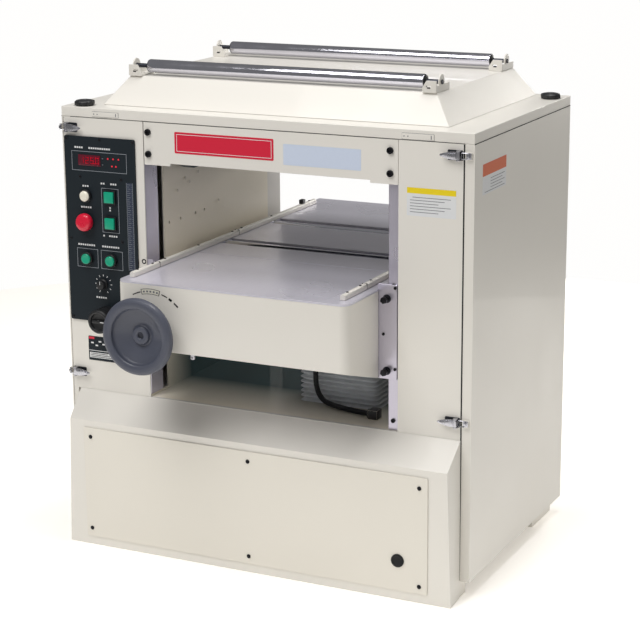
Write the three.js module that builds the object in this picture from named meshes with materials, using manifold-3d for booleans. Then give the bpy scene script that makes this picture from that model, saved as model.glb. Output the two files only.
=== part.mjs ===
// Thickness planer: a floor-standing cabinet with a lifting table under a fixed cutterhead.
// Millimetres, +Z up, +X to the operator's right, the operator stands on the -Y side.
import * as THREE from 'three';
import { mergeVertices } from 'three/addons/utils/BufferGeometryUtils.js';
import { ConvexGeometry } from 'three/addons/geometries/ConvexGeometry.js';
import Module from 'manifold-3d';

const wasm = await Module();
wasm.setup();

// ---------------------------------------------------------------- driving dimensions

const GAP = 0.3; // between neighbouring pieces
const SHEET = 3.2; // cabinet sheet steel

// cabinet
const CABINET_HALF_WIDTH = 513;
const CABINET_DEPTH = 622; // from the column fronts, y = 0, to the back of the lid
const BODY_HALF_WIDTH = 489; // base and columns, inside the doors
const BODY_BACK = 618;
const BASE_FRONT = -61;
const BASE_FRONT_TOP = 312;
const DECK = 370; // top of the base
const DOOR_BOTTOM = 41;
const LID_UNDER = 1024;
const LID_TOP = 1047;
const HOOD_TOP = 1112;

// opening between the columns
const LEFT_EDGE = -295;
const RIGHT_EDGE = 339;
const LEFT_WALL = -297;
const RIGHT_WALL = 341;
const WAY_FRONT = 8.2;
const WAY_BACK = 62;
const WALL_FRONT = 88;
const POST_FRONT = 585;
const POST_BACK = 685;
const HEADER_BOTTOM = 925;

// table
const TABLE_TOP = 690;
const TABLE_LEFT = -280;
const TABLE_RIGHT = 289.5;
const TABLE_FRONT = -158;
const TABLE_BACK = 885;
const BED_FRONT = 167;
const BED_BACK = 598;
const BED_UNDER = 600;
const COVER_FRONT_BOTTOM = 537;
const COVER_BACK_BOTTOM = 488;
const STOCK_LEFT = -250; // the planing width, between the side rails
const STOCK_RIGHT = 254;
const BED_ROLLER_RADIUS = 24;
const BED_ROLLER_PLACES = { front: 307, rear: 567 };

// table lift
const SCREW = { x: 135, y: 226, radius: 16 };
const GEARBOX_UNDER = 520;
const WHEEL = { x: -200, z: 578, radius: 88 };

// head
const CUTTER = { y: 435, z: 932, radius: 48, pulley: 45 };
const FEED_AXIS_Z = 914;
const FEED_RADIUS = 35;
const INFEED_Y = 320;
const OUTFEED_Y = 550;
const FEED_SPROCKET = 40;
const FEED_MOTOR = { y: 435, z: 700, sprocket: 25 };
const MOTOR = { y: 435, z: 150, radius: 95, pulley: 55 };

// return rollers on the hood
const RETURN_RADIUS = 15.5;
const RETURN_HALF_LENGTH = 345;
const RETURN_Z = 1133;
const BRACKET_FRONTS = { front: 95, rear: 497 };
const BRACKET_TO_AXIS = 33;

// doors and latches
const HINGE = { x: 506, y: 628, radius: 5, heights: [430, 850], barrel: 80 };
const LATCH_HEIGHTS = { top: 999, bottom: 411 };

// ---------------------------------------------------------------- finishes

const finish = (color, roughness, metalness) => new THREE.MeshStandardMaterial({ color, roughness, metalness });
const cream = () => finish(0xeceadf, 0.42, 0.05);
const steel = () => finish(0xb9b8c2, 0.3, 0.9);
const chrome = () => finish(0xd9dae2, 0.12, 1.0);
const castIron = () => finish(0x5a6068, 0.6, 0.7);
const darkSteel = () => finish(0x3c4049, 0.45, 0.8);
const blackPlastic = () => finish(0x1a1b1e, 0.5, 0.0);
const rubber = () => finish(0x17181a, 0.8, 0.0);
const motorGrey = () => finish(0x69727a, 0.5, 0.3);
const greenCap = () => finish(0x00a982, 0.35, 0.0);
const redCap = () => finish(0xe0163c, 0.35, 0.0);
const wheelPaint = () => finish(0x474c5c, 0.4, 0.2);
const panelPaint = () => finish(0x272d38, 0.45, 0.2);
const pleatGrey = () => finish(0x8b9094, 0.8, 0.0);

// ---------------------------------------------------------------- solids

const SNAP = 1 / 1024; // corners lie on this grid, so that faces meant to be flush are exactly flush

/** Signed volume of a triangle mesh, negative when it is inside out. */
function signedVolume(points, corners) {
  const [a, b, c] = [new THREE.Vector3(), new THREE.Vector3(), new THREE.Vector3()];
  let volume = 0;
  for (let i = 0; i < corners.length; i += 3) {
    a.fromArray(points, corners[i] * 3);
    b.fromArray(points, corners[i + 1] * 3);
    c.fromArray(points, corners[i + 2] * 3);
    volume += a.dot(b.cross(c)) / 6;
  }
  return volume;
}

/** A closed three.js geometry as a solid that can be joined and cut. */
function solid(geometry) {
  const bare = geometry.clone();
  bare.deleteAttribute('normal');
  bare.deleteAttribute('uv');
  const merged = mergeVertices(bare, 1e-3);
  const index = Array.from(merged.index.array);
  const corners = [];
  for (let i = 0; i < index.length; i += 3) {
    const [a, b, c] = index.slice(i, i + 3);
    if (a !== b && b !== c && c !== a) corners.push(a, b, c);
  }
  const points = merged.attributes.position.array.map((value) => Math.round(value / SNAP) * SNAP);
  if (signedVolume(points, corners) < 0) corners.reverse();
  return new wasm.Manifold(
    new wasm.Mesh({ numProp: 3, vertProperties: new Float32Array(points), triVerts: new Uint32Array(corners) }),
  );
}

const join = (first, ...others) => others.reduce((whole, other) => whole.add(other), first);
const cut = (first, ...others) => others.reduce((rest, other) => rest.subtract(other), first);

/** A box between two x, two y and two z values. */
function block(x0, x1, y0, y1, z0, z1) {
  const box = new THREE.BoxGeometry(x1 - x0, y1 - y0, z1 - z0);
  return solid(box.translate((x0 + x1) / 2, (y0 + y1) / 2, (z0 + z1) / 2));
}

// A shape's plane and its extrusion direction, for each axis, as a right-handed frame:
// along x the outline is (y, z), along y it is (x, z) and along z it is (x, y).
const FRAMES = {
  x: new THREE.Matrix4().makeBasis(new THREE.Vector3(0, 1, 0), new THREE.Vector3(0, 0, 1), new THREE.Vector3(1, 0, 0)),
  y: new THREE.Matrix4().makeBasis(new THREE.Vector3(1, 0, 0), new THREE.Vector3(0, 0, 1), new THREE.Vector3(0, -1, 0)),
  z: new THREE.Matrix4(),
};

/** A flat outline extruded along an axis from one coordinate to another. */
function prism(axis, outline, from, to) {
  const shape = new THREE.Shape(outline.map(([u, v]) => new THREE.Vector2(u, v)));
  const geometry = new THREE.ExtrudeGeometry(shape, { depth: to - from, bevelEnabled: false });
  geometry.translate(0, 0, axis === 'y' ? -to : from);
  return solid(geometry.applyMatrix4(FRAMES[axis]));
}

/** A round bar along an axis; a and b are its centre in the outline's two coordinates. */
function rod(axis, a, b, radius, from, to, sides = 16) {
  const outline = [];
  for (let i = 0; i < sides; i += 1) {
    const angle = ((i + 0.5) / sides) * 2 * Math.PI;
    outline.push([a + radius * Math.cos(angle), b + radius * Math.sin(angle)]);
  }
  return prism(axis, outline, from, to);
}

/** A turned piece about an axis parallel to `axis`; the profile is (radius, place along the axis). */
function turned(axis, a, b, profile, sides = 24) {
  const lathe = new THREE.LatheGeometry(profile.map(([r, h]) => new THREE.Vector2(r, h)), sides);
  lathe.rotateX(Math.PI / 2); // the lathe's own axis now lies along +Z
  if (axis === 'y') lathe.scale(1, 1, -1);
  lathe.translate(a, b, 0);
  return solid(lathe.applyMatrix4(FRAMES[axis]));
}

/** A rectangle with round corners, as outline points. */
function roundedRectangle(u0, u1, v0, v1, radius, steps = 4) {
  const centres = [
    [u1 - radius, v1 - radius],
    [u0 + radius, v1 - radius],
    [u0 + radius, v0 + radius],
    [u1 - radius, v0 + radius],
  ];
  return centres.flatMap(([u, v], quarter) =>
    Array.from({ length: steps + 1 }, (_, i) => {
      const angle = (quarter + i / steps) * (Math.PI / 2);
      return [u + radius * Math.cos(angle), v + radius * Math.sin(angle)];
    }),
  );
}

/** The smallest convex solid that holds all the points. */
const hull = (points) => solid(new ConvexGeometry(points.map(([x, y, z]) => new THREE.Vector3(x, y, z))));

/** A taut band round pulleys whose axes run along x: each pulley is [y, z, radius]. */
function band(pulleys, thickness, x0, x1, sides = 20) {
  const wrap = (extra) =>
    hull(
      pulleys.flatMap(([y, z, radius]) =>
        Array.from({ length: sides }, (_, i) => {
          const angle = (i / sides) * 2 * Math.PI;
          return [y + (radius + extra) * Math.cos(angle), z + (radius + extra) * Math.sin(angle)];
        }).flatMap(([v, w]) => [x0, x1].map((x) => [x, v, w])),
      ),
    );
  const hole = wrap(1).scale([3, 1, 1]).translate([-(x0 + x1), 0, 0]);
  return cut(wrap(1 + thickness), hole);
}

// ---------------------------------------------------------------- the scene graph

const machine = new THREE.Group();
machine.name = 'thickness_planer';

function add(name, shape, material) {
  const { vertProperties, triVerts } = shape.getMesh();
  const geometry = new THREE.BufferGeometry();
  geometry.setAttribute('position', new THREE.BufferAttribute(new Float32Array(vertProperties), 3));
  geometry.setIndex(new THREE.BufferAttribute(new Uint32Array(triVerts), 1));
  geometry.computeVertexNormals();
  const mesh = new THREE.Mesh(geometry, material);
  mesh.name = name;
  machine.add(mesh);
}

// ---------------------------------------------------------------- base

/** The slot through which the belt rises from the base into the right column. */
const beltSlot = () => block(398, 448, 362, 508, DECK - 10, DECK + 10);

function baseFrame() {
  const bulge = hull([
    [-494, BASE_FRONT, 0], [494, BASE_FRONT, 0], [-491, 0, 0], [491, 0, 0],
    [-483, BASE_FRONT, BASE_FRONT_TOP], [483, BASE_FRONT, BASE_FRONT_TOP], [-489, 0, DECK], [489, 0, DECK],
  ]);
  const body = block(-BODY_HALF_WIDTH, BODY_HALF_WIDTH, -1, BODY_BACK, 0, DECK);
  const wall = 4;
  const inside = [
    [BASE_FRONT + wall, wall],
    [BODY_BACK - wall, wall],
    [BODY_BACK - wall, DECK - wall],
    [2, DECK - wall],
    [BASE_FRONT + wall, BASE_FRONT_TOP - 2],
  ];
  const frontOpening = block(-430, 424, -70, -50, 38, 282);
  const sideOpening = block(-600, 600, 60, 560, 70, 345);
  const nutHole = rod('z', SCREW.x, SCREW.y, 24.4, DECK - 10, DECK + 10);
  const underDoor = (side) => block(...(side < 0 ? [-600, -440] : [440, 600]), 40, 484, -1, 30);
  const gland = join(
    block(242, 264, 54, 82, DECK - 1, 392),
    rod('x', 68, 380, 10, 237.6, 243, 12),
  );
  return join(
    cut(
      join(bulge, body),
      prism('x', inside, -479, 479),
      frontOpening,
      sideOpening,
      beltSlot(),
      nutHole,
      underDoor(-1),
      underDoor(1),
    ),
    gland,
  );
}
add('base_frame', baseFrame(), cream());

add(
  'base_front_cover',
  prism('y', roundedRectangle(-445, 439, 22, 295, 4, 2), BASE_FRONT - 3, BASE_FRONT - GAP),
  cream(),
);

// ---------------------------------------------------------------- columns and ways

const SHAFT_HOLES = [
  [INFEED_Y, FEED_AXIS_Z, 17],
  [OUTFEED_Y, FEED_AXIS_Z, 17],
  [CUTTER.y, CUTTER.z, 28],
];
const WALL_HOLES = [112, 164, 236, 280]; // a row of small holes in the left inner wall
const WALL_HOLE_Z = 769;

/** The two ears that hold each hinge barrel of a door, with the arms back to the column. */
function hingeEars(side) {
  const ears = HINGE.heights.flatMap((z) => [z - 14.5, z + HINGE.barrel + 0.5]);
  return ears.map((z) =>
    join(
      rod('z', side * HINGE.x, HINGE.y, HINGE.radius, z, z + 14),
      block(...[side * 484, side * HINGE.x].sort((p, q) => p - q), HINGE.y - 2, HINGE.y + 3, z, z + 14),
      block(...[side * 484, side * 489].sort((p, q) => p - q), BODY_BACK - 3, HINGE.y + 3, z, z + 14),
    ),
  );
}

function leftColumn() {
  const inner = LEFT_WALL;
  const frame = join(
    block(-508, LEFT_EDGE, 0, SHEET, DECK + GAP, LID_UNDER - GAP),
    block(-508, -495.5, 0, SHEET, DOOR_BOTTOM, DECK + 5),
    block(inner - 4, inner, WALL_FRONT, BODY_BACK - 2, DECK + GAP, LID_UNDER - GAP),
    block(-BODY_HALF_WIDTH, inner, 0, BODY_BACK, DECK + GAP, DECK + 4),
    block(-BODY_HALF_WIDTH, inner, 0, BODY_BACK, LID_UNDER - 4, LID_UNDER - GAP),
    block(-BODY_HALF_WIDTH, inner, BODY_BACK - 4, BODY_BACK, DECK + GAP, LID_UNDER - GAP),
    block(inner - 20, inner, POST_FRONT, POST_BACK, DECK + GAP, LID_UNDER - GAP),
    ...hingeEars(-1),
  );
  const holes = [
    ...SHAFT_HOLES.map(([y, z, radius]) => rod('x', y, z, radius, inner - 30, inner + 10)),
    ...WALL_HOLES.map((y) => rod('x', y, WALL_HOLE_Z, 4, inner - 10, inner + 10, 8)),
    block(-492, -330, -5, 10, 560, 966), // behind the control panel
  ];
  return cut(frame, ...holes);
}
add('left_column', leftColumn(), cream());

function rightColumn() {
  const inner = RIGHT_WALL;
  const frame = join(
    block(RIGHT_EDGE, BODY_HALF_WIDTH, 0, SHEET, DECK + GAP, LID_UNDER - GAP),
    block(inner, inner + 4, WALL_FRONT, BODY_BACK - 2, DECK + GAP, LID_UNDER - GAP),
    cut(
      block(inner, BODY_HALF_WIDTH, 0, BODY_BACK, DECK + GAP, DECK + 4),
      beltSlot(),
    ),
    block(inner, BODY_HALF_WIDTH, 0, BODY_BACK, LID_UNDER - 4, LID_UNDER - GAP),
    block(inner, BODY_HALF_WIDTH, BODY_BACK - 4, BODY_BACK, DECK + GAP, LID_UNDER - GAP),
    block(inner - 21, inner, POST_FRONT, POST_BACK, DECK + GAP, LID_UNDER - GAP),
    block(inner - 2, inner + 4, POST_FRONT + 20, BODY_BACK, DECK + GAP, LID_UNDER - GAP),
    ...hingeEars(1),
  );
  const holes = SHAFT_HOLES.map(([y, z, radius]) => rod('x', y, z, radius, inner - 30, inner + 10));
  return cut(frame, ...holes);
}
add('right_column', rightColumn(), cream());

const wayOutline = (x0, x1) => [
  [x0, WAY_FRONT + 2], [x0 + 2, WAY_FRONT], [x1 - 2, WAY_FRONT], [x1, WAY_FRONT + 2], [x1, WAY_BACK], [x0, WAY_BACK],
];
add('front_way_left', prism('z', wayOutline(-322, LEFT_WALL), DECK + 4.5, LID_UNDER - 4.5), steel());
add('front_way_right', prism('z', wayOutline(312, 338), DECK + GAP, LID_UNDER - 4.5), steel());

// ---------------------------------------------------------------- head

function headCasting() {
  const cheekOutline = [[75, 925], [180, 890], [600, 890], [600, 1016], [75, 1016]];
  const cheek = (x0, x1) => prism('x', cheekOutline, x0, x1);
  const bored = SHAFT_HOLES.map(([y, z]) => rod('x', y, z, y === CUTTER.y ? 20.7 : 12.7, -300, 345));
  return cut(
    join(
      cheek(-294, -266),
      cheek(272, 300),
      block(-294, 300, 75, 105, 945, 1016),
      block(-294, 300, 590, 600, 898, 1016),
      block(299, 340.5, 120, 560, 990, 1016),
    ),
    ...bored,
    rod('x', CUTTER.y, CUTTER.z, CUTTER.radius + 12, -265, 271, 24),
  );
}
add('head_casting', headCasting(), castIron());

const headerOutline = [
  [LEFT_EDGE + 2, HEADER_BOTTOM], [-225, HEADER_BOTTOM], [-225, HEADER_BOTTOM + 6], [272, HEADER_BOTTOM + 6],
  [272, HEADER_BOTTOM], [RIGHT_EDGE - 1, HEADER_BOTTOM], [RIGHT_EDGE - 1, LID_UNDER - 1], [LEFT_EDGE + 2, LID_UNDER - 1],
];
add(
  'header_plate',
  join(
    prism('y', headerOutline, 0, SHEET),
    block(-224, 271, 1, 36, HEADER_BOTTOM + 6, HEADER_BOTTOM + 9),
  ),
  cream(),
);

function cutterhead() {
  const knives = Array.from({ length: 4 }, (_, i) =>
    block(-246, 250, -3, 3, CUTTER.radius - 4, CUTTER.radius + 3).rotate([i * 90 + 45, 0, 0]).translate([0, CUTTER.y, CUTTER.z]),
  );
  return join(
    rod('x', CUTTER.y, CUTTER.z, CUTTER.radius, STOCK_LEFT, STOCK_RIGHT, 24),
    rod('x', CUTTER.y, CUTTER.z, 20, -330, 446),
    ...knives,
  );
}
add('cutterhead', cutterhead(), darkSteel());

/** A grooved pulley of which the bore clears its shaft. */
function pulley(y, z, radius, bore, x0, x1) {
  const middle = (x0 + x1) / 2;
  const wheel = join(
    rod('x', y, z, radius + 6, x0 - 4, x0 + 1, 24),
    rod('x', y, z, radius, x0, x1, 24),
    rod('x', y, z, radius + 6, x1 - 1, x1 + 4, 24),
  );
  return bore ? cut(wheel, rod('x', y, z, bore, middle - 40, middle + 40)) : wheel;
}
const BELT_X = [408, 436];
add('cutterhead_pulley', pulley(CUTTER.y, CUTTER.z, CUTTER.pulley, 20.4, ...BELT_X), castIron());
add(
  'motor_pulley',
  join(pulley(MOTOR.y, MOTOR.z, MOTOR.pulley, 0, ...BELT_X), rod('x', MOTOR.y, MOTOR.z, 13, 380, BELT_X[0])),
  castIron(),
);
add(
  'drive_belt',
  band(
    [[MOTOR.y, MOTOR.z, MOTOR.pulley], [CUTTER.y, CUTTER.z, CUTTER.pulley]],
    7,
    BELT_X[0] + 3,
    BELT_X[1] - 3,
  ),
  rubber(),
);

/** A feed roller with its shaft and its sprocket at the left end. */
function feedRoller(y) {
  return join(
    rod('x', y, FEED_AXIS_Z, FEED_RADIUS, STOCK_LEFT, STOCK_RIGHT, 24),
    rod('x', y, FEED_AXIS_Z, 12, -402, 330),
    rod('x', y, FEED_AXIS_Z, FEED_SPROCKET, -396, -384, 24),
  );
}
add('infeed_roller', feedRoller(INFEED_Y), steel());
add('outfeed_roller', feedRoller(OUTFEED_Y), rubber());
add(
  'feed_sprocket',
  join(
    rod('x', FEED_MOTOR.y, FEED_MOTOR.z, FEED_MOTOR.sprocket, -396, -384),
    rod('x', FEED_MOTOR.y, FEED_MOTOR.z, 8, -400, -366),
  ),
  steel(),
);
add(
  'feed_chain',
  band(
    [
      [INFEED_Y, FEED_AXIS_Z, FEED_SPROCKET],
      [OUTFEED_Y, FEED_AXIS_Z, FEED_SPROCKET],
      [FEED_MOTOR.y, FEED_MOTOR.z, FEED_MOTOR.sprocket],
    ],
    7,
    -395,
    -385,
  ),
  darkSteel(),
);
add(
  'feed_motor',
  cut(
    join(
      rod('x', FEED_MOTOR.y, FEED_MOTOR.z, 55, -378, -302 + GAP),
      block(-378, -302 + GAP, 400, 470, 630, 700),
    ),
    rod('x', FEED_MOTOR.y, FEED_MOTOR.z, 8.6, -380, -360),
  ),
  motorGrey(),
);
add(
  'pressure_bar',
  prism('x', [[493, 884], [503, 884], [508, 894], [508, 940], [493, 940]], -265, 271),
  castIron(),
);

// ---------------------------------------------------------------- main motor in the base

function mainMotor() {
  const body = join(
    rod('x', MOTOR.y, MOTOR.z, MOTOR.radius, 150, 372, 24),
    rod('x', MOTOR.y, MOTOR.z, MOTOR.radius - 12, 110, 392, 24),
    block(170, 350, 355, 515, 4 + GAP, 70),
    block(210, 300, 395, 475, 230, 270),
  );
  return cut(body, rod('x', MOTOR.y, MOTOR.z, 13.6, 376, 400));
}
add('main_motor', mainMotor(), motorGrey());

// ---------------------------------------------------------------- lid, hood and return rollers

const COVER_KNOBS = { front: [-466, 28], rear: [486, 555] };

function topLid() {
  return cut(
    block(-CABINET_HALF_WIDTH, CABINET_HALF_WIDTH, 0, CABINET_DEPTH, LID_UNDER, LID_TOP),
    block(-CABINET_HALF_WIDTH + 3, CABINET_HALF_WIDTH - 3, 3, CABINET_DEPTH - 3, LID_UNDER - 1, LID_TOP - 3),
    block(-390, 390, 100, 560, LID_TOP - 10, LID_TOP + 10),
    ...Object.values(COVER_KNOBS).map(([x, y]) => rod('z', x, y, 6.5, LID_TOP - 10, LID_TOP + 10)),
  );
}
add('top_lid', topLid(), cream());

/** The hood's four-sided frustum, drawn in by a wall thickness. */
const hoodShape = (wall, bottom) =>
  hull(
    [-1, 1].flatMap((side) => [
      [side * (433 - wall), 55 + wall, bottom],
      [side * (433 - wall), 605 - wall, bottom],
      [side * (384 - wall), 101 + wall, HOOD_TOP - wall],
      [side * (384 - wall), 577 - wall, HOOD_TOP - wall],
    ]),
  );
add('dust_hood', cut(hoodShape(0, LID_TOP + GAP), hoodShape(3, LID_TOP - 2)), cream());

/** A return-roller bracket: a foot, a front gusset with a slot, and an ear with a round hump. */
function rollerBracket(side, front) {
  const axisY = front + BRACKET_TO_AXIS;
  const foot = HOOD_TOP + GAP;
  const shoulder = foot + 15;
  const hump = [];
  for (let i = 0; i <= 8; i += 1) {
    const angle = (i / 8) * Math.PI;
    hump.push([axisY + 15 * Math.cos(angle), 1135 + 15 * Math.sin(angle)]);
  }
  const ear = [[front, foot], [front + 77, foot], [front + 77, shoulder], [axisY + 15, shoulder], ...hump,
    [axisY - 15, shoulder], [front, shoulder]];
  const span = (a, b) => [side * a, side * b].sort((p, q) => p - q);
  const gusset = [[side * 385, foot], [side * 352, foot], [side * 352, foot + 10], [side * 362, foot + 26],
    [side * 385, foot + 26]];
  return cut(
    join(
      prism('x', ear, ...span(382, 385)),
      prism('y', side < 0 ? gusset : gusset.slice().reverse(), front, front + 3),
      block(...span(352, 385), front, front + 77, foot, foot + 3),
    ),
    rod('x', axisY, RETURN_Z, 5.4, -400, 400),
    block(...span(361, 372), front - 5, front + 5, foot + 11, foot + 15),
  );
}

function returnRoller(front) {
  const y = front + BRACKET_TO_AXIS;
  return join(
    rod('x', y, RETURN_Z, RETURN_RADIUS, -RETURN_HALF_LENGTH, RETURN_HALF_LENGTH, 24),
    rod('x', y, RETURN_Z, 5, -388, 388),
  );
}
for (const [place, front] of Object.entries(BRACKET_FRONTS)) {
  add(`roller_bracket_${place}_left`, rollerBracket(-1, front), cream());
  add(`roller_bracket_${place}_right`, rollerBracket(1, front), cream());
  add(`return_roller_${place}`, returnRoller(front), chrome());
}

for (const [place, [x, y]] of Object.entries(COVER_KNOBS)) {
  const z = LID_TOP + GAP;
  const profile = [[0, z - 16], [6, z - 16], [6, z], [22, z], [24, z + 3], [24, z + 10], [20, z + 14], [0, z + 14]];
  add(`cover_knob_${place}`, turned('z', x, y, profile, 24), blackPlastic());
}

// ---------------------------------------------------------------- doors and latches

function doorLatchKeepers(x0, x1) {
  return Object.values(LATCH_HEIGHTS).map((z) => block(x0, x1, -5, 2.5, z - 7, z + 7));
}

/** A door's skin, its stiffening flanges, hinge barrels and latch keepers. */
function door(side) {
  const span = (a, b) => [side * a, side * b].sort((p, q) => p - q);
  const top = LID_UNDER - GAP;
  const skin = 3;
  const front = side > 0 ? 0.6 : 5.5; // the left flange hides behind the column front
  const pan = cut(
    block(...span(491, 513), front, CABINET_DEPTH, DOOR_BOTTOM, top),
    block(...span(480, 510), front + skin, CABINET_DEPTH - skin, DOOR_BOTTOM + skin, top - skin),
  );
  const barrels = HINGE.heights.map((z) =>
    join(
      rod('z', side * HINGE.x, HINGE.y, HINGE.radius, z, z + HINGE.barrel),
      block(...span(HINGE.x - 3, HINGE.x + 3), CABINET_DEPTH - skin, HINGE.y - 1, z, z + HINGE.barrel),
    ),
  );
  const edge = side > 0 ? [] : [block(-513, -510, 0.6, 10, DOOR_BOTTOM, top)];
  return join(pan, ...edge, ...barrels, ...doorLatchKeepers(...(side > 0 ? [495, 508] : [-516, -510.5])));
}
add('door_left', door(-1), cream());
add('door_right', door(1), cream());

/** A toggle-latch lever: a tapered plate from its hinge barrel to its finger tip. */
function latchLever(side, z) {
  const pivot = side > 0 ? 479 : -498;
  const tip = pivot - side * 42;
  const plate = [[pivot, z - 9], [tip + side * 12, z - 7], [tip, z - 3], [tip, z + 3], [tip + side * 12, z + 7], [pivot, z + 9]];
  return join(
    prism('y', plate, -11.5, -8.5),
    rod('z', pivot, -9, 4, z - 9, z + 9, 12),
  );
}
for (const [side, sideName] of [[-1, 'left'], [1, 'right']]) {
  for (const [height, z] of Object.entries(LATCH_HEIGHTS)) {
    add(`latch_lever_${sideName}_${height}`, latchLever(side, z), chrome());
  }
}

// ---------------------------------------------------------------- controls

const PANEL_FACE = -4;
const CONTROLS = {
  emergency_stop: [-451, 780],
  button_table_up: [-385, 842.5],
  button_table_down: [-385, 781],
  button_feed: [-452, 692],
  button_cutter: [-386.5, 692],
};
const SPEED_KNOB = [-412, 633];
const SELECTOR = [-397, 555];

add(
  'control_panel',
  cut(
    prism('y', roundedRectangle(-506, -316, 540, 980, 4, 2), PANEL_FACE, -GAP),
    ...[...Object.values(CONTROLS), SPEED_KNOB].map(([x, z]) => rod('y', x, z, 7.5, -10, 10)),
  ),
  panelPaint(),
);

const stem = (x, z) => rod('y', x, z, 6.8, PANEL_FACE - 8, -1);
const [stopX, stopZ] = CONTROLS.emergency_stop;
add(
  'emergency_stop',
  join(
    turned('y', stopX, stopZ, [[0, -28], [12, -27], [19, -23], [21, -18], [20, -14], [12, -11], [0, -11]], 24),
    stem(stopX, stopZ),
  ),
  redCap(),
);
for (const name of ['button_table_up', 'button_table_down']) {
  const [x, z] = CONTROLS[name];
  add(name, join(prism('y', roundedRectangle(x - 12.5, x + 12.5, z - 13, z + 13, 3, 2), -14, -9), stem(x, z)), greenCap());
}
for (const name of ['button_feed', 'button_cutter']) {
  const [x, z] = CONTROLS[name];
  const cap = [[0, -17.5], [10, -17], [12, -15.5], [12, -9], [0, -9]];
  add(name, join(turned('y', x, z, cap, 24), stem(x, z)), greenCap());
}
add(
  'speed_knob',
  join(
    turned('y', ...SPEED_KNOB, [[0, -20], [10, -20], [12, -18], [13, -5], [0, -5]], 24),
    block(SPEED_KNOB[0] - 1.2, SPEED_KNOB[0] + 1.2, -21.5, -18, SPEED_KNOB[1], SPEED_KNOB[1] + 11),
    stem(...SPEED_KNOB),
  ),
  blackPlastic(),
);
add(
  'feed_speed_selector',
  join(
    turned('y', ...SELECTOR, [[0, -52], [24, -52], [28, -48], [29, -8], [25, -4.6], [0, -4.6]], 24),
    block(SELECTOR[0] - 5, SELECTOR[0] + 5, -60, -50, SELECTOR[1] - 25, SELECTOR[1] + 25),
  ),
  blackPlastic(),
);

// ---------------------------------------------------------------- table

const BED_ROLLER_Z = TABLE_TOP + 0.4 - BED_ROLLER_RADIUS;
const ROLLER_PLACES = Object.values(BED_ROLLER_PLACES);

function tableBed() {
  const crossRibs = [400, 480].map((y) => block(TABLE_LEFT + 5, TABLE_RIGHT - 5, y, y + 12, BED_UNDER + 20, TABLE_TOP - 5));
  return cut(
    join(
      cut(
        block(TABLE_LEFT, TABLE_RIGHT, BED_FRONT, BED_BACK, BED_UNDER, TABLE_TOP),
        block(TABLE_LEFT + 14, TABLE_RIGHT - 14, BED_FRONT + 14, BED_BACK - 3, BED_UNDER - 1, TABLE_TOP - 14),
      ),
      ...crossRibs,
    ),
    ...ROLLER_PLACES.map((y) => block(STOCK_LEFT - 2, STOCK_RIGHT + 2, y - 29, y + 29, TABLE_TOP - 60, TABLE_TOP + 10)),
    ...ROLLER_PLACES.map((y) => rod('x', y, BED_ROLLER_Z, 8.4, -300, 300)),
  );
}
add('table_bed', tableBed(), steel());

for (const [place, y] of Object.entries(BED_ROLLER_PLACES)) {
  add(
    `bed_roller_${place}`,
    join(
      rod('x', y, BED_ROLLER_Z, BED_ROLLER_RADIUS, STOCK_LEFT, STOCK_RIGHT, 24),
      rod('x', y, BED_ROLLER_Z, 8, TABLE_LEFT + 2, TABLE_RIGHT - 2),
    ),
    chrome(),
  );
}

/** The table front's plan outline: two round corners at the front, square at the back. */
function frontOutline(inset, radius, back) {
  const full = roundedRectangle(TABLE_LEFT + inset, TABLE_RIGHT + 2 - inset, TABLE_FRONT + inset, 100, radius, 5);
  const frontCorners = full.slice(full.length / 2);
  return [[TABLE_RIGHT + 2 - inset, back], [TABLE_LEFT + inset, back], ...frontCorners];
}
const PLATE_UNDER = TABLE_TOP - 4;
add(
  'table_front_plate',
  join(
    prism('z', frontOutline(0.5, 22, 2), PLATE_UNDER, TABLE_TOP),
    block(TABLE_LEFT + 0.5, TABLE_RIGHT, 1, BED_FRONT - 3, PLATE_UNDER, TABLE_TOP),
  ),
  steel(),
);
add(
  'table_front_cover',
  cut(
    prism('z', frontOutline(0, 22, 2), COVER_BACK_BOTTOM, PLATE_UNDER - GAP),
    prism('z', frontOutline(4, 18, 20), COVER_BACK_BOTTOM - 10, PLATE_UNDER + 5),
    prism(
      'x',
      [[TABLE_FRONT - 10, COVER_BACK_BOTTOM - 20], [10, COVER_BACK_BOTTOM - 20], [2, COVER_BACK_BOTTOM],
        [TABLE_FRONT, COVER_FRONT_BOTTOM], [TABLE_FRONT - 10, COVER_FRONT_BOTTOM]],
      -400,
      400,
    ),
    rod('y', WHEEL.x, WHEEL.z, 11, TABLE_FRONT - 20, TABLE_FRONT + 20),
  ),
  cream(),
);
add(
  'table_rear_extension',
  join(
    block(TABLE_LEFT, TABLE_RIGHT, BED_BACK + 3, TABLE_BACK, TABLE_TOP - 12, TABLE_TOP),
    block(TABLE_LEFT, TABLE_LEFT + 8, BED_BACK + 3, TABLE_BACK, TABLE_TOP - 50, TABLE_TOP),
    block(TABLE_RIGHT - 8, TABLE_RIGHT, BED_BACK + 3, TABLE_BACK, TABLE_TOP - 50, TABLE_TOP),
    block(TABLE_LEFT, TABLE_RIGHT, TABLE_BACK - 8, TABLE_BACK, TABLE_TOP - 50, TABLE_TOP),
  ),
  steel(),
);

/** A side rail on the table: a bar with its long edges broken. */
function sideRail(x0, x1) {
  const bottom = TABLE_TOP + 0.8;
  const top = bottom + 12.5;
  const outline = [[x0, bottom], [x1, bottom], [x1, top - 3], [x1 - 3, top], [x0 + 3, top], [x0, top - 3]];
  const joints = [-10, 375].map((y) => block(x0 - 5, x1 + 5, y, y + 2, top - 2.5, top + 5));
  return cut(prism('y', outline, -124, 812), ...joints);
}
add('rail_left', sideRail(-265, -253), cream());
add('rail_right', sideRail(258, 270), cream());

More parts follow.
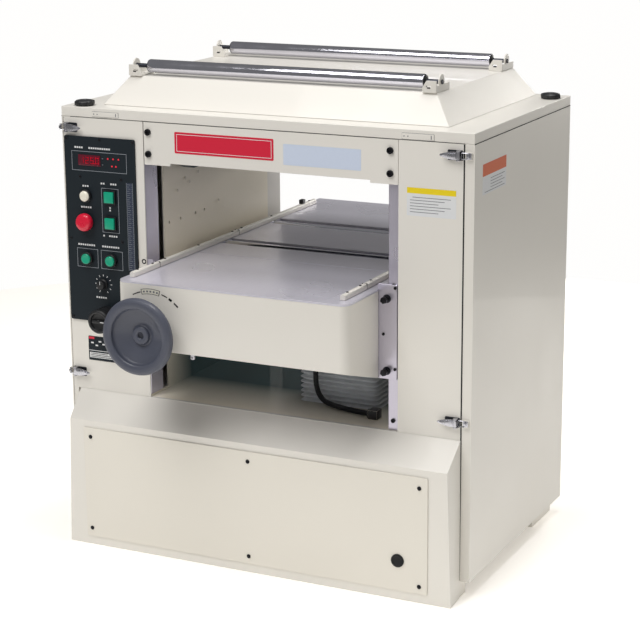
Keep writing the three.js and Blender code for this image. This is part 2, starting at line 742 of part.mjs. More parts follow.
const GIB_FACE = [3.6, 7.9]; // it runs between the column front and the way
const GIB_TOP = 703;
const gib = (x0, x1, legX0, legX1) =>
  join(
    block(x0, x1, ...GIB_FACE, COVER_BACK_BOTTOM, GIB_TOP),
    block(legX0, legX1, GIB_FACE[0], 230, 612, 660),
  );
add('gib_left', gib(-318, TABLE_LEFT - GAP, -288, TABLE_LEFT - GAP), steel());
add('gib_right', gib(TABLE_RIGHT + GAP, 335, TABLE_RIGHT + GAP, 298), steel());

// ---------------------------------------------------------------- table lift

function liftGearbox() {
  const top = BED_UNDER - GAP;
  return cut(
    join(
      block(25, 245, 118, 335, GEARBOX_UNDER, top),
      block(-235, 30, 196, 256, 548, top),
      block(70, 106, 86, 120, 514, 560), // terminal box
    ),
    block(33, 237, 126, 327, GEARBOX_UNDER + 8, top + 5),
    block(-229, 40, 202, 250, 554, top + 5),
    rod('z', SCREW.x, SCREW.y, SCREW.radius + 1, GEARBOX_UNDER - 10, GEARBOX_UNDER + 20),
    rod('y', WHEEL.x, WHEEL.z, 9.6, 190, 210),
  );
}
add('lift_gearbox', liftGearbox(), castIron());

add(
  'lead_screw',
  turned('z', SCREW.x, SCREW.y, [
    [0, 140], [13, 140], [SCREW.radius, 144], [SCREW.radius, 555], [44, 558], [30, 585], [12, 585], [12, 592], [0, 592],
  ], 24),
  steel(),
);
add(
  'lift_nut',
  cut(
    join(
      rod('z', SCREW.x, SCREW.y, 42, DECK + GAP, DECK + 8),
      rod('z', SCREW.x, SCREW.y, 24, 325, DECK + 1),
    ),
    rod('z', SCREW.x, SCREW.y, SCREW.radius + 0.6, 300, 400),
  ),
  finish(0xb08d4f, 0.4, 0.9),
);
add(
  'lift_motor',
  join(
    rod('x', 150, 560, 37, -175, 0),
    rod('x', 150, 560, 28, -190, 24.5),
  ),
  motorGrey(),
);

const bellowsSpan = [34, 236, 122, 331];
add(
  'lift_bellows',
  cut(
    block(...bellowsSpan, DECK + GAP, GEARBOX_UNDER - GAP),
    block(42, 228, 130, 323, DECK - 5, GEARBOX_UNDER + 5),
  ),
  pleatGrey(),
);

function tableCable() {
  const route = [
    [88, 103, 513.6], [88, 103, 480], [88, 103, 448], [90, 102, 420], [98, 101, 398], [114, 99, 384],
    [136, 95, 379], [162, 88, 378], [190, 79, 378.5], [214, 71, 379.6], [236.4, 68, 380],
  ];
  const curve = new THREE.CatmullRomCurve3(route.map((p) => new THREE.Vector3(...p)));
  const ring = new THREE.Shape();
  ring.absarc(0, 0, 6, 0, 2 * Math.PI, false);
  return solid(new THREE.ExtrudeGeometry(ring, { steps: 22, curveSegments: 8, extrudePath: curve }));
}
add('table_cable', tableCable(), rubber());

function handwheel() {
  const front = TABLE_FRONT - 57;
  const profile = [
    [0, front + 20], [20, front + 20], [24, front + 23], [66, front + 13], [72, front + 6], [76, front], [84, front],
    [WHEEL.radius, front + 5], [WHEEL.radius, front + 13], [84, front + 18], [76, front + 20], [66, front + 22],
    [24, front + 36], [20, front + 48], [0, front + 48],
  ];
  return join(
    turned('y', WHEEL.x, WHEEL.z, profile, 32),
    rod('y', WHEEL.x, WHEEL.z, 9, front + 40, 195),
  );
}
add('handwheel', handwheel(), wheelPaint());

// ---------------------------------------------------------------- origin under the middle

machine.updateMatrixWorld(true);
const middle = new THREE.Box3().setFromObject(machine).getCenter(new THREE.Vector3());
machine.children.forEach((mesh) => mesh.position.set(-middle.x, -middle.y, 0));

export default machine;
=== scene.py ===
"""The looks of a thickness planer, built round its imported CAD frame."""

import math

import bmesh
import bpy
from mathutils import Matrix, Vector


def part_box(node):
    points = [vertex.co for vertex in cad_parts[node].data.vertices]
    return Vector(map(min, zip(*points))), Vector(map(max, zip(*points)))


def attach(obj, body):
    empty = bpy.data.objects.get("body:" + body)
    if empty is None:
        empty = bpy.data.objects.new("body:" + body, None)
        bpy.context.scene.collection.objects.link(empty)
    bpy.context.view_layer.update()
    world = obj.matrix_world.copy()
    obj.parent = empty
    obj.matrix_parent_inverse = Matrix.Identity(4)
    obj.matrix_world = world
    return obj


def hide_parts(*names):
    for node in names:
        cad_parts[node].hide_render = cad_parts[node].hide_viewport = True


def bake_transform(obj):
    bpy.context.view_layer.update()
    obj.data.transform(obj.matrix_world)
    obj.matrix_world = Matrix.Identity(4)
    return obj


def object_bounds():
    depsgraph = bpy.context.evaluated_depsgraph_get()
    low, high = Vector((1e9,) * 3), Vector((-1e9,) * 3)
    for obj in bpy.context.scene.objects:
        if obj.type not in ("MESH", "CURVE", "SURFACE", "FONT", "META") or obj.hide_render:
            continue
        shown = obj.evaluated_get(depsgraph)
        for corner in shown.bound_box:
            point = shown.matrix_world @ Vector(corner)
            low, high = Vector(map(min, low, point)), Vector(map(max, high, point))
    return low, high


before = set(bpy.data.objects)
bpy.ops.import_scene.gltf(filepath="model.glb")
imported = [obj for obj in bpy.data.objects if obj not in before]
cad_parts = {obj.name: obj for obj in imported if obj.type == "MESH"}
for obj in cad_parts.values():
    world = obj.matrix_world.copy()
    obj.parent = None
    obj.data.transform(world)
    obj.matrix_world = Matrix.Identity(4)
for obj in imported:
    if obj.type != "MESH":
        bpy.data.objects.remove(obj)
cad_low, cad_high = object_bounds()

MM = 0.001
lid_low, lid_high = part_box("top_lid")
# x = 0 is the middle of the lid, y = 0 the plane of the column fronts and z = 0 the floor
ORIGIN = Vector(((lid_low.x + lid_high.x) / 2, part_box("left_column")[0].y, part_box("base_frame")[0].z))


def row(x, y, z):
    """A point given in millimetres from the cabinet's own origin, in the row frame."""
    return ORIGIN + MM * Vector((x, y, z))


def span(node):
    """A CAD node's box in those millimetres: x0, x1, y0, y1, z0, z1."""
    low, high = ((corner - ORIGIN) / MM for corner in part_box(node))
    return low.x, high.x, low.y, high.y, low.z, high.z


# ---------------------------------------------------------------- camera, lights and floor

AZIMUTH, ELEVATION, ROLL = 25.93, 14.72, -0.4
LOOK_AT = (cad_low + cad_high) / 2 + Vector((-0.0115, 0, -0.067))
DISTANCE = 4.585
LENS_MM, SENSOR_MM = 106.1, 36


def make_camera():
    turn = (
        Matrix.Rotation(math.radians(AZIMUTH), 4, "Z")
        @ Matrix.Rotation(math.radians(90 - ELEVATION), 4, "X")
        @ Matrix.Rotation(math.radians(ROLL), 4, "Z")
    )
    data = bpy.data.cameras.new("photo_view")
    data.lens, data.sensor_width = LENS_MM, SENSOR_MM
    data.clip_start, data.clip_end = 0.05, 100
    camera = bpy.data.objects.new("photo_view", data)
    camera.matrix_world = Matrix.Translation(LOOK_AT + turn @ Vector((0, 0, DISTANCE))) @ turn
    bpy.context.scene.collection.objects.link(camera)
    bpy.context.scene.camera = camera


def area_light(name, place, target, size, power, colour):
    """A square soft box at a place in metres, facing the target."""
    data = bpy.data.lights.new(name, "AREA")
    data.shape, data.size, data.energy, data.color = "SQUARE", size, power, colour
    light = bpy.data.objects.new(name, data)
    light.location = place
    light.rotation_mode = "QUATERNION"
    light.rotation_quaternion = (Vector(target) - Vector(place)).to_track_quat("-Z", "Y")
    bpy.context.scene.collection.objects.link(light)


AMBIENT, BACKDROP = 0.2, 1.0  # the strength of the surroundings as light, and as the camera sees them
FLOOR_RADIUS, FLOOR_SIDES, FLOOR_DROP, FLOOR_GLOW = 2.7, 96, 0.0005, 0.4


def make_lights():
    centre = (0, 0, 0.6)
    area_light("key", (-0.7, -2.6, 4.2), centre, 2.4, 114, (1.0, 0.985, 0.97))
    area_light("top", (0.6, 0.0, 4.4), (0.2, 0, 1.0), 1.3, 62, (1.0, 0.98, 0.96))
    area_light("fill", (1.5, -4.0, 1.1), centre, 1.8, 3, (1.0, 0.92, 0.82))
    area_light("back", (0.42, 3.4, 1.2), (0, 0, 0.8), 1.2, 62, (1.0, 0.97, 0.92))


def make_surroundings():
    """A pale backdrop that lights the machine only faintly."""
    world = bpy.data.worlds.new("studio")
    bpy.context.scene.world = world
    world.use_nodes = True
    tree = world.node_tree
    background = tree.nodes["Background"]
    background.inputs["Color"].default_value = (1.0, 0.995, 0.985, 1)
    seen = tree.nodes.new("ShaderNodeLightPath")
    strength = tree.nodes.new("ShaderNodeMapRange")
    strength.inputs["To Min"].default_value = AMBIENT
    strength.inputs["To Max"].default_value = BACKDROP
    tree.links.new(seen.outputs["Is Camera Ray"], strength.inputs["Value"])
    tree.links.new(strength.outputs["Result"], background.inputs["Strength"])
    bpy.context.scene.view_settings.view_transform = "Standard"
    bpy.context.scene.view_settings.look = "None"


def make_floor():
    mesh = bpy.data.meshes.new("floor")
    corners = [(x, y, ORIGIN.z - FLOOR_DROP) for x, y in polygon(0, 0, FLOOR_RADIUS, FLOOR_SIDES)]
    mesh.from_pydata(corners, [], [tuple(range(FLOOR_SIDES))])
    mesh.materials.append(plain_floor())
    floor = bpy.data.objects.new("floor", mesh)
    bpy.context.scene.collection.objects.link(floor)


# ---------------------------------------------------------------- finishes


def srgb(red, green, blue):
    """A linear colour with alpha from 8-bit values."""
    values = [value / 255 for value in (red, green, blue)]
    return tuple(v / 12.92 if v <= 0.04045 else ((v + 0.055) / 1.055) ** 2.4 for v in values) + (1.0,)


def shade(colour, factor):
    """The same colour, lighter or darker."""
    return tuple(min(1.0, value * factor) for value in colour[:3]) + (1.0,)


class Finish:
    """A procedural material. Its textures are laid out in metres on the piece, so they move with it."""

    def __init__(self, name, roughness=0.5, metallic=0.0, coat=0.0, specular=0.5):
        self.material = bpy.data.materials.new(name)
        self.material.use_nodes = True
        self.nodes = self.material.node_tree.nodes
        self.links = self.material.node_tree.links
        self.shader = self.nodes["Principled BSDF"]
        self.shader.inputs["Roughness"].default_value = roughness
        self.shader.inputs["Metallic"].default_value = metallic
        self.shader.inputs["Coat Weight"].default_value = coat
        self.shader.inputs["Specular IOR Level"].default_value = specular
        self.place = self.nodes.new("ShaderNodeTexCoord").outputs["Object"]
        self.normal = None

    def node(self, kind, **values):
        made = self.nodes.new("ShaderNode" + kind)
        for name, value in values.items():
            setattr(made, name, value)
        return made

    def stretched(self, stretch):
        mapping = self.node("Mapping")
        mapping.inputs["Scale"].default_value = stretch
        self.links.new(self.place, mapping.inputs["Vector"])
        return mapping.outputs["Vector"]

    def noise(self, scale, detail=3, stretch=None, rough=0.55):
        texture = self.node("TexNoise")
        texture.inputs["Scale"].default_value = scale
        texture.inputs["Detail"].default_value = detail
        texture.inputs["Roughness"].default_value = rough
        self.links.new(self.stretched(stretch) if stretch else self.place, texture.inputs["Vector"])
        return texture.outputs["Fac"]

    def waves(self, scale, direction):
        texture = self.node("TexWave", bands_direction=direction)
        texture.inputs["Scale"].default_value = scale
        self.links.new(self.place, texture.inputs["Vector"])
        return texture.outputs["Fac"]

    def product(self, first, second):
        made = self.node("Math", operation="MULTIPLY")
        self.links.new(first, made.inputs[0])
        self.links.new(second, made.inputs[1])
        return made.outputs[0]

    def spread(self, value, low, high, start=0.3, end=0.7):
        """Maps a 0 to 1 texture to a range of numbers."""
        mapped = self.node("MapRange")
        self.links.new(value, mapped.inputs["Value"])
        for name, number in (("From Min", start), ("From Max", end), ("To Min", low), ("To Max", high)):
            mapped.inputs[name].default_value = number
        return mapped.outputs["Result"]

    def blend(self, factor, first, second):
        mix = self.node("Mix", data_type="RGBA")
        self.links.new(factor, mix.inputs["Factor"])
        for socket, colour in (("A", first), ("B", second)):
            target = [s for s in mix.inputs if s.name == socket and s.type == "RGBA"][0]
            if isinstance(colour, tuple):
                target.default_value = colour
            else:
                self.links.new(colour, target)
        return [s for s in mix.outputs if s.type == "RGBA"][0]

    def colour(self, value):
        if isinstance(value, tuple):
            self.shader.inputs["Base Color"].default_value = value
        else:
            self.links.new(value, self.shader.inputs["Base Color"])

    def roughness(self, value):
        self.links.new(value, self.shader.inputs["Roughness"])

    def bump(self, height, strength, distance):
        bump = self.node("Bump")
        bump.inputs["Strength"].default_value = strength
        bump.inputs["Distance"].default_value = distance
        self.links.new(height, bump.inputs["Height"])
        if self.normal is not None:
            self.links.new(self.normal, bump.inputs["Normal"])
        self.normal = bump.outputs["Normal"]
        self.links.new(self.normal, self.shader.inputs["Normal"])

    def mottled(self, colour, scale, detail, dark, light):
        """A base colour that drifts between two shades of one colour."""
        self.colour(self.blend(self.noise(scale, detail), shade(colour, dark), shade(colour, light)))

    def worn(self, scale, detail, low, high):
        """A gloss that drifts between two roughnesses."""
        self.roughness(self.spread(self.noise(scale, detail), low, high))

    def grained(self, scale, detail, strength, distance, stretch=None):
        """Fine relief over the surface, its height in metres."""
        self.bump(self.noise(scale, detail, stretch), strength, distance)


def plain_floor():
    finish = Finish("pale_floor", roughness=0.9, specular=0.1)
    finish.colour(finish.blend(finish.noise(0.8), srgb(243, 243, 242), srgb(247, 247, 246)))
    finish.shader.inputs["Emission Color"].default_value = (1, 0.94, 0.85, 1)
    finish.shader.inputs["Emission Strength"].default_value = FLOOR_GLOW
    return finish.material


ENAMEL_ROUGHNESS, ENAMEL_COAT = 0.36, 0.15
ENAMEL_DRIFT = (0.965, 1.035)
ORANGE_PEEL = (420, 2, 0.06, 0.0004)


def enamel(name, colour, roughness=ENAMEL_ROUGHNESS, coat=ENAMEL_COAT, specular=0.5):
    """Sprayed enamel: broad faint tone changes, orange peel, and fine dust in the gloss."""
    finish = Finish(name, roughness, coat=coat, specular=specular)
    broad = finish.blend(finish.noise(2.2, 2), *(shade(colour, drift) for drift in ENAMEL_DRIFT))
    dust = finish.spread(finish.noise(900, 2), 0, 0.06)
    finish.colour(finish.blend(dust, broad, shade(colour, 0.7)))
    finish.worn(7, 4, roughness - 0.06, roughness + 0.07)
    finish.grained(*ORANGE_PEEL)
    return finish.material


WALL_LEFT, WALL_RIGHT = -0.3005, 0.3425  # the tunnel's sides, in metres from the middle of the lid
REAR_LIP = 0.006  # from the lid's rear edge in to the back of those sides


def two_tone_and_painted_light(name, outside, upper, well_colour_and_shade):
    """Enamel with a paler tone on the tunnel's walls, which is painted light, and dark, oily green in the
    well under the table, which is partly its paint and partly painted shade that deepens towards the back
    and the bottom.
    """
    finish = Finish(name, ENAMEL_ROUGHNESS, coat=ENAMEL_COAT)
    axes = finish.node("SeparateXYZ")
    finish.links.new(finish.place, axes.inputs["Vector"])

    def rises(axis, start, end):
        """0 to 1 between two distances in metres from the cabinet's own origin."""
        origin = getattr(ORIGIN, axis.lower())
        return finish.spread(axes.outputs[axis], 0, 1, origin + start, origin + end)

    def all_of(factor, *others):
        for other in others:
            factor = finish.product(factor, other)
        return factor

    rear = lid_high.y - ORIGIN.y - REAR_LIP
    sides = rises("X", WALL_LEFT, WALL_LEFT + 0.002), rises("X", WALL_RIGHT + 0.002, WALL_RIGHT)
    tunnel = all_of(*sides, rises("Y", rear, rear - 0.004))
    # painted light: the tunnel's walls are painted in the paler upper tone
    painted_light_walls = all_of(tunnel, rises("Y", 0.005, 0.01))
    # the well's mask: where the green paint is, with painted shade deepening from the front to the back and
    # from the top down; it also makes the well oily and dull
    oily_well_and_shade = all_of(tunnel, rises("Y", 0.015, 0.2), rises("Z", 0.66, 0.52), rises("Z", 0.36, 0.366))
    broad = finish.blend(finish.noise(2.2, 2), *(shade(outside, drift) for drift in ENAMEL_DRIFT))
    # the well's colour: dark green paint, darkened further by painted shade
    oily_green_and_shade = finish.blend(finish.noise(6, 4), shade(well_colour_and_shade, 0.7), shade(well_colour_and_shade, 1.3))
    finish.colour(finish.blend(oily_well_and_shade, finish.blend(painted_light_walls, broad, upper), oily_green_and_shade))
    finish.roughness(finish.spread(oily_well_and_shade, ENAMEL_ROUGHNESS, 0.9, 0, 1))
    finish.grained(*ORANGE_PEEL)
    return finish.material


def ground_metal(name, colour, along, roughness=0.28, metallic=1.0, depth=0.12):
    """Ground or brushed metal with its lines along one axis."""
    stretch = tuple(4 if axis == along else 260 for axis in "XYZ")
    finish = Finish(name, roughness, metallic)
    lines = finish.noise(6, 3, stretch, 0.7)
    tone = finish.blend(finish.noise(4, 2), shade(colour, 0.9), shade(colour, 1.06))
    finish.colour(finish.blend(finish.spread(lines, 0, 0.35), tone, shade(colour, 0.72)))
    finish.worn(5, 2, roughness - 0.04, roughness + 0.06)
    finish.bump(lines, depth, 0.0002)
    return finish.material


def plated(name, colour, roughness=0.12):
    """Plated bright metal with faint wipe marks."""
    finish = Finish(name, roughness, 1.0)
    finish.mottled(colour, 14, 3, 0.93, 1)
    finish.worn(40, 5, roughness - 0.04, roughness + 0.08)
    finish.grained(300, 3, 0.03, 0.0001, (1, 8, 8))
    return finish.material


def rough_cast(name, colour, metallic=0.3, roughness=0.55, scale=260):
    """Sand-cast metal under thin paint."""
    finish = Finish(name, roughness, metallic)
    grain = finish.noise(scale, 4)
    finish.mottled(colour, 12, 4, 0.82, 1.12)
    finish.roughness(finish.spread(grain, roughness - 0.1, roughness + 0.15))
    finish.bump(grain, 0.35, 0.0006)
    return finish.material


def moulded(name, colour, roughness=0.42, depth=0.12, coat=0.0):
    """Moulded plastic with a fine spark-eroded grain."""
    finish = Finish(name, roughness, coat=coat)
    finish.mottled(colour, 30, 3, 0.9, 1.08)
    finish.worn(60, 4, roughness - 0.06, roughness + 0.08)
    finish.grained(1500, 2, depth, 0.0002)
    return finish.material


def soft_rubber(name, colour):
    """Dull rubber with a bloom in patches."""
    finish = Finish(name, 0.68, specular=0.35)
    finish.mottled(colour, 50, 4, 0.8, 1.35)
    finish.worn(35, 4, 0.55, 0.82)
    finish.grained(700, 3, 0.2, 0.0003)
    return finish.material


def coated_cloth(name, colour):
    """Woven cloth under a thin rubber coat."""
    finish = Finish(name, 0.62, specular=0.4)
    weave = finish.blend(finish.waves(260, "X"), (0, 0, 0, 1), finish.waves(260, "Z"))
    finish.mottled(colour, 18, 5, 0.72, 1.2)
    finish.worn(50, 4, 0.5, 0.76)
    finish.bump(weave, 0.15, 0.0003)
    return finish.material


def printed(name, colour):
    """A printed foil label or plate."""
    finish = Finish(name, 0.4, coat=0.2)
    finish.mottled(colour, 120, 3, 0.96, 1)
    finish.grained(500, 2, 0.04, 0.0001)
    return finish.material


def glowing(name, colour, strength):
    """A lamp or lit digit behind tinted plastic."""
    finish = Finish(name, 0.3)
    finish.mottled(colour, 200, 2, 0.8, 1)
    finish.shader.inputs["Emission Color"].default_value = colour
    finish.shader.inputs["Emission Strength"].default_value = strength
    return finish.material


CREAM = enamel("cream_enamel", srgb(230, 227, 220))
BASE_CREAM = enamel("base_enamel", srgb(230, 226, 216))
# a darker, duller copy of the cream enamel for pieces inside the tunnel: painted shade
SHADED_CREAM = enamel("shaded_inner_enamel", srgb(226, 219, 202), roughness=0.5)
# the walls' paler tone is painted light, and the well's dark green is partly paint and partly painted shade
CABINET_CREAM = two_tone_and_painted_light("cabinet_enamel", srgb(230, 227, 220), srgb(250, 242, 222), srgb(0, 56, 60))
# the table's ground steel, made paler and partly diffuse so that its colour carries a painted sheen
SHEEN_STEEL_ALONG = ground_metal("ground_steel_y_painted_sheen", srgb(226, 224, 236), "Y", 0.3, 0.45)
STEEL_UP = ground_metal("ground_steel_z", srgb(216, 212, 226), "Z", 0.3, 0.8)
STEEL_ACROSS = ground_metal("ground_steel_x", srgb(190, 190, 198), "X", 0.26)
CHROME = plated("chrome", srgb(214, 214, 224))
CAST = rough_cast("grey_cast", srgb(92, 100, 104))
DARK_STEEL = ground_metal("dark_steel", srgb(70, 72, 80), "X", 0.42, depth=0.2)
OXIDE = rough_cast("black_oxide", srgb(38, 38, 42), 0.8, 0.4, 600)
BLACK = moulded("black_plastic", srgb(26, 27, 30))
PANEL = enamel("panel_enamel", srgb(30, 38, 44), 0.5, coat=0.0, specular=0.2)
RED = moulded("red_plastic", srgb(222, 18, 56), 0.3, coat=0.3, depth=0.03)
GREEN = moulded("green_plastic", srgb(0, 164, 128), 0.34, coat=0.3, depth=0.03)
WHEEL = enamel("wheel_enamel", srgb(76, 80, 94), 0.46)
RUBBER = soft_rubber("black_rubber", srgb(26, 27, 29))
ROLLER_RUBBER = soft_rubber("roller_rubber", srgb(52, 54, 58))
MOTOR = enamel("motor_enamel", srgb(104, 114, 120), 0.45)
BELLOWS = coated_cloth("bellows_cloth", srgb(206, 211, 215))
BRONZE = ground_metal("bronze", srgb(190, 146, 84), "Z", 0.35)
WHITE_LAMP = moulded("lamp_lens", srgb(244, 240, 224), 0.25, coat=0.5, depth=0.02)
WHITE_INK = printed("white_print", srgb(226, 228, 230))
CREAM_INK = printed("cream_print", srgb(232, 229, 216))
SCALE_BLUE = printed("scale_blue", srgb(44, 54, 74))
PALE_INK = printed("pale_print", srgb(158, 164, 172))
DARK_INK = printed("grey_print", srgb(110, 112, 120))
RED_PLATE = printed("red_plate", srgb(214, 24, 58))
BLUE_PLATE = printed("blue_plate", srgb(206, 217, 236))
YELLOW_PLATE = printed("yellow_plate", srgb(240, 214, 20))
ORANGE_PLATE = printed("orange_plate", srgb(214, 106, 62))
LED = glowing("red_digit", srgb(225, 16, 44), 0.55)
GLASS = moulded("display_window", srgb(96, 8, 34), 0.2, coat=0.4, depth=0.01)
ZINC = plated("zinc_plate", srgb(196, 196, 203), 0.26)

# ---------------------------------------------------------------- shapes


def filleted(points, radius, steps=3, closed=False):
    """A polyline with its corners rounded by quadratic arcs that start `radius` from each corner."""
    points = [Vector((*p, 0)) for p in points]
    count, made = len(points), []
    for i, corner in enumerate(points):
        if not closed and i in (0, count - 1):
            made.append(corner)
            continue
        before, after = points[i - 1] - corner, points[(i + 1) % count] - corner
        reach = min(radius, before.length / 2.2, after.length / 2.2)
        start, end = corner + before.normalized() * reach, corner + after.normalized() * reach
        for step in range(steps + 1):
            t = step / steps
            made.append(start * (1 - t) ** 2 + corner * 2 * t * (1 - t) + end * t ** 2)
    return [(p.x, p.y) for p in made]


def rectangle(u0, u1, v0, v1, radius=0.0):
    corners = [(u0, v0), (u1, v0), (u1, v1), (u0, v1)]
    return filleted(corners, radius, closed=True) if radius else corners


def polygon(u, v, radius, sides, turn=0.0):
    angles = [2 * math.pi * i / sides + turn for i in range(sides)]
    return [(u + radius * math.cos(a), v + radius * math.sin(a)) for a in angles]


def bridge(part, rings):
    """Faces between neighbouring rings of vertices, and over the first and the last."""
    for first, second in zip(rings, rings[1:]):
        for i in range(len(first)):
            j = (i + 1) % len(first)
            part.faces.new((first[i], first[j], second[j], second[i]))
    part.faces.new(rings[0])
    part.faces.new(rings[-1])


def oriented(axis, u, v, along):
    """A point from two coordinates of an outline and one along the axis."""
    return {"x": (along, u, v), "y": (u, along, v), "z": (u, v, along)}[axis]


class Shape:
    """One piece of the machine, gathered from parts in millimetres, each with its own finish."""

    def __init__(self):
        self.gathered = bmesh.new()
        self.finishes = []

    def take(self, part, finish):
        if finish not in self.finishes:
            self.finishes.append(finish)
        bmesh.ops.recalc_face_normals(part, faces=part.faces)
        for face in part.faces:
            face.material_index = self.finishes.index(finish)
        holder = bpy.data.meshes.new("part")
        part.to_mesh(holder)
        part.free()
        self.gathered.from_mesh(holder)
        bpy.data.meshes.remove(holder)
        return self

    def box(self, x0, x1, y0, y1, z0, z1, finish, edge=0.5):
        return self.prism("z", rectangle(x0, x1, y0, y1), z0, z1, finish, edge)

    def prism(self, axis, outline, start, end, finish, edge=0.4):
        """A flat outline pushed along an axis, with its sharp edges rounded by `edge`."""
        part = bmesh.new()
        low, high = (
            [part.verts.new(row(*oriented(axis, u, v, along))) for u, v in outline] for along in (start, end)
        )
        part.faces.new(low)
        part.faces.new(high)
        for i in range(len(outline)):
            j = (i + 1) % len(outline)
            part.faces.new((low[i], low[j], high[j], high[i]))
        bmesh.ops.recalc_face_normals(part, faces=part.faces)
        if edge:
            sharp = [e for e in part.edges if e.calc_face_angle(0) > math.radians(40)]
            bmesh.ops.bevel(part, geom=sharp, offset=edge * MM, segments=2, affect="EDGES", profile=0.6)
        return self.take(part, finish)

    def turned(self, axis, u, v, profile, finish, sides=48, fillet=0.0):
        """A turned part about an axis at (u, v). The profile is (radius, place along the axis)."""
        if fillet:
            profile = filleted(profile, fillet)
        part = bmesh.new()
        rings = []
        for radius, along in profile:
            outline = [(u, v)] if radius < 1e-6 else polygon(u, v, radius, sides)
            rings.append([part.verts.new(row(*oriented(axis, a, b, along))) for a, b in outline])
        pairs = list(zip(rings, rings[1:]))
        if len(rings[0]) > 1 and len(rings[-1]) > 1:
            pairs.append((rings[-1], rings[0]))
        for first, second in pairs:
            for i in range(sides):
                j = (i + 1) % sides
                corners = [first[k % len(first)] for k in (i, j)] + [second[k % len(second)] for k in (j, i)]
                corners = [c for k, c in enumerate(corners) if c not in corners[:k]]
                if len(corners) > 2:
                    part.faces.new(corners)
        return self.take(part, finish)

    def rod(self, axis, u, v, radius, start, end, finish, sides=48, fillet=0.0):
        """A plain round bar about an axis at (u, v)."""
        profile = [(0, start), (radius, start), (radius, end), (0, end)]
        return self.turned(axis, u, v, profile, finish, sides, fillet)

    def tube(self, points, radius, finish, sides=12, closed=False):
        """A round wire along points, closed on itself or capped."""
        path = [row(*p) for p in points]
        count = len(path)
        tangents = []
        for i in range(count):
            last, following = path[i - 1], path[(i + 1) % count]
            if not closed:
                last, following = path[max(i - 1, 0)], path[min(i + 1, count - 1)]
            tangents.append((following - last).normalized())
        side = tangents[0].orthogonal().normalized()
        part = bmesh.new()
        rings = []
        for place, tangent in zip(path, tangents):
            side = (side - tangent * side.dot(tangent)).normalized()
            other = tangent.cross(side)
            rings.append(
                [part.verts.new(place + MM * radius * (side * math.cos(a) + other * math.sin(a)))
                 for a in (2 * math.pi * k / sides for k in range(sides))]
            )
        for i in range(count if closed else count - 1):
            first, second = rings[i], rings[(i + 1) % count]
            turn = 0
            if closed and i == count - 1:
                turn = min(range(sides), key=lambda k: (second[k].co - first[0].co).length)
            for k in range(sides):
                a, b = k, (k + 1) % sides
                part.faces.new((first[a], first[b], second[(b + turn) % sides], second[(a + turn) % sides]))
        if not closed:
            part.faces.new(rings[0])
            part.faces.new(rings[-1])
        return self.take(part, finish)

    def done(self, name, body, slot, stands_for=(), sharp=38):
        """The finished piece. It rides on the body, unless that is None, and stands for the named nodes."""
        mesh = bpy.data.meshes.new(name)
        self.gathered.to_mesh(mesh)
        self.gathered.free()
        for finish in self.finishes:
            mesh.materials.append(finish)
        mesh.shade_smooth()
        mesh.set_sharp_from_angle(angle=math.radians(sharp))
        piece = bpy.data.objects.new(name, mesh)
        bpy.context.scene.collection.objects.link(piece)
        if body:
            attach(piece, body)
        if stands_for:
            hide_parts(*stands_for)
        return piece


def centre_of(node, axis):
    """The centre of a CAD node in the two coordinates across an axis."""
    x0, x1, y0, y1, z0, z1 = span(node)
    middle = {"x": (x0 + x1) / 2, "y": (y0 + y1) / 2, "z": (z0 + z1) / 2}
    return tuple(middle[a] for a in "xyz" if a != axis)


def frame_line(shape, x0, x1, z0, z1, y, width, finish, proud=0.35):
    """A thin printed border on a front face."""
    for a, b, c, d in (
        (x0, x1, z0, z0 + width),
        (x0, x1, z1 - width, z1),
        (x0, x0 + width, z0 + width, z1 - width),
        (x1 - width, x1, z0 + width, z1 - width),
    ):
        shape.box(a, b, y - proud, y + 0.1, c, d, finish, 0)


def pan_screw(shape, axis, u, v, face, radius, way, finish):
    """A domed screw head on a face, with a cross slot. `way` is +1 or -1, out of the face."""
    height = radius * 0.62
    profile = [(0, face), (radius, face), (radius, face + way * height * 0.3),
               (radius * 0.72, face + way * height * 0.86), (0, face + way * height)]
    shape.turned(axis, u, v, profile, finish, 24, radius * 0.15)
    arm, half = radius * 0.5, radius * 0.1
    top = sorted((face + way * height * 0.7, face + way * (height + 0.06)))
    for wide, tall in ((arm, half), (half, arm)):
        outline = rectangle(u - wide, u + wide, v - tall, v + tall)
        shape.prism(axis, outline, *top, OXIDE, 0)


def hex_bolt(shape, axis, u, v, face, radius, way, finish, height=None, washer=True):
    """A hexagon head on a washer, with a chamfered top."""
    height = height or radius * 0.75
    base = face
    if washer:
        shape.rod(axis, u, v, radius * 1.25, face, face + way * 1.4, finish, 32, 0.3)
        base = face + way * 1.2
    top = base + way * height
    shape.prism(axis, polygon(u, v, radius, 6, 0.3), *sorted((base, top)), finish, radius * 0.09)
    side = [(radius * 0.8, top - way), (radius * 0.72, top + way * 0.4)]
    crown = [(0, top - way)] + side + [(0, top + way * 0.5)]
    shape.turned(axis, u, v, crown, finish, 32)


def socket_bolt(shape, axis, u, v, face, radius, way, finish):
    """A socket-head cap screw with its round recess."""
    top = face + way * radius * 0.7
    deep = face + way * radius * 0.2
    wide, narrow = radius * 0.56, radius * 0.5
    profile = [(0, face), (radius, face), (radius, top), (wide, top), (narrow, deep), (0, deep)]
    shape.turned(axis, u, v, profile, finish, 32, radius * 0.1)


# ---------------------------------------------------------------- CAD nodes that stay

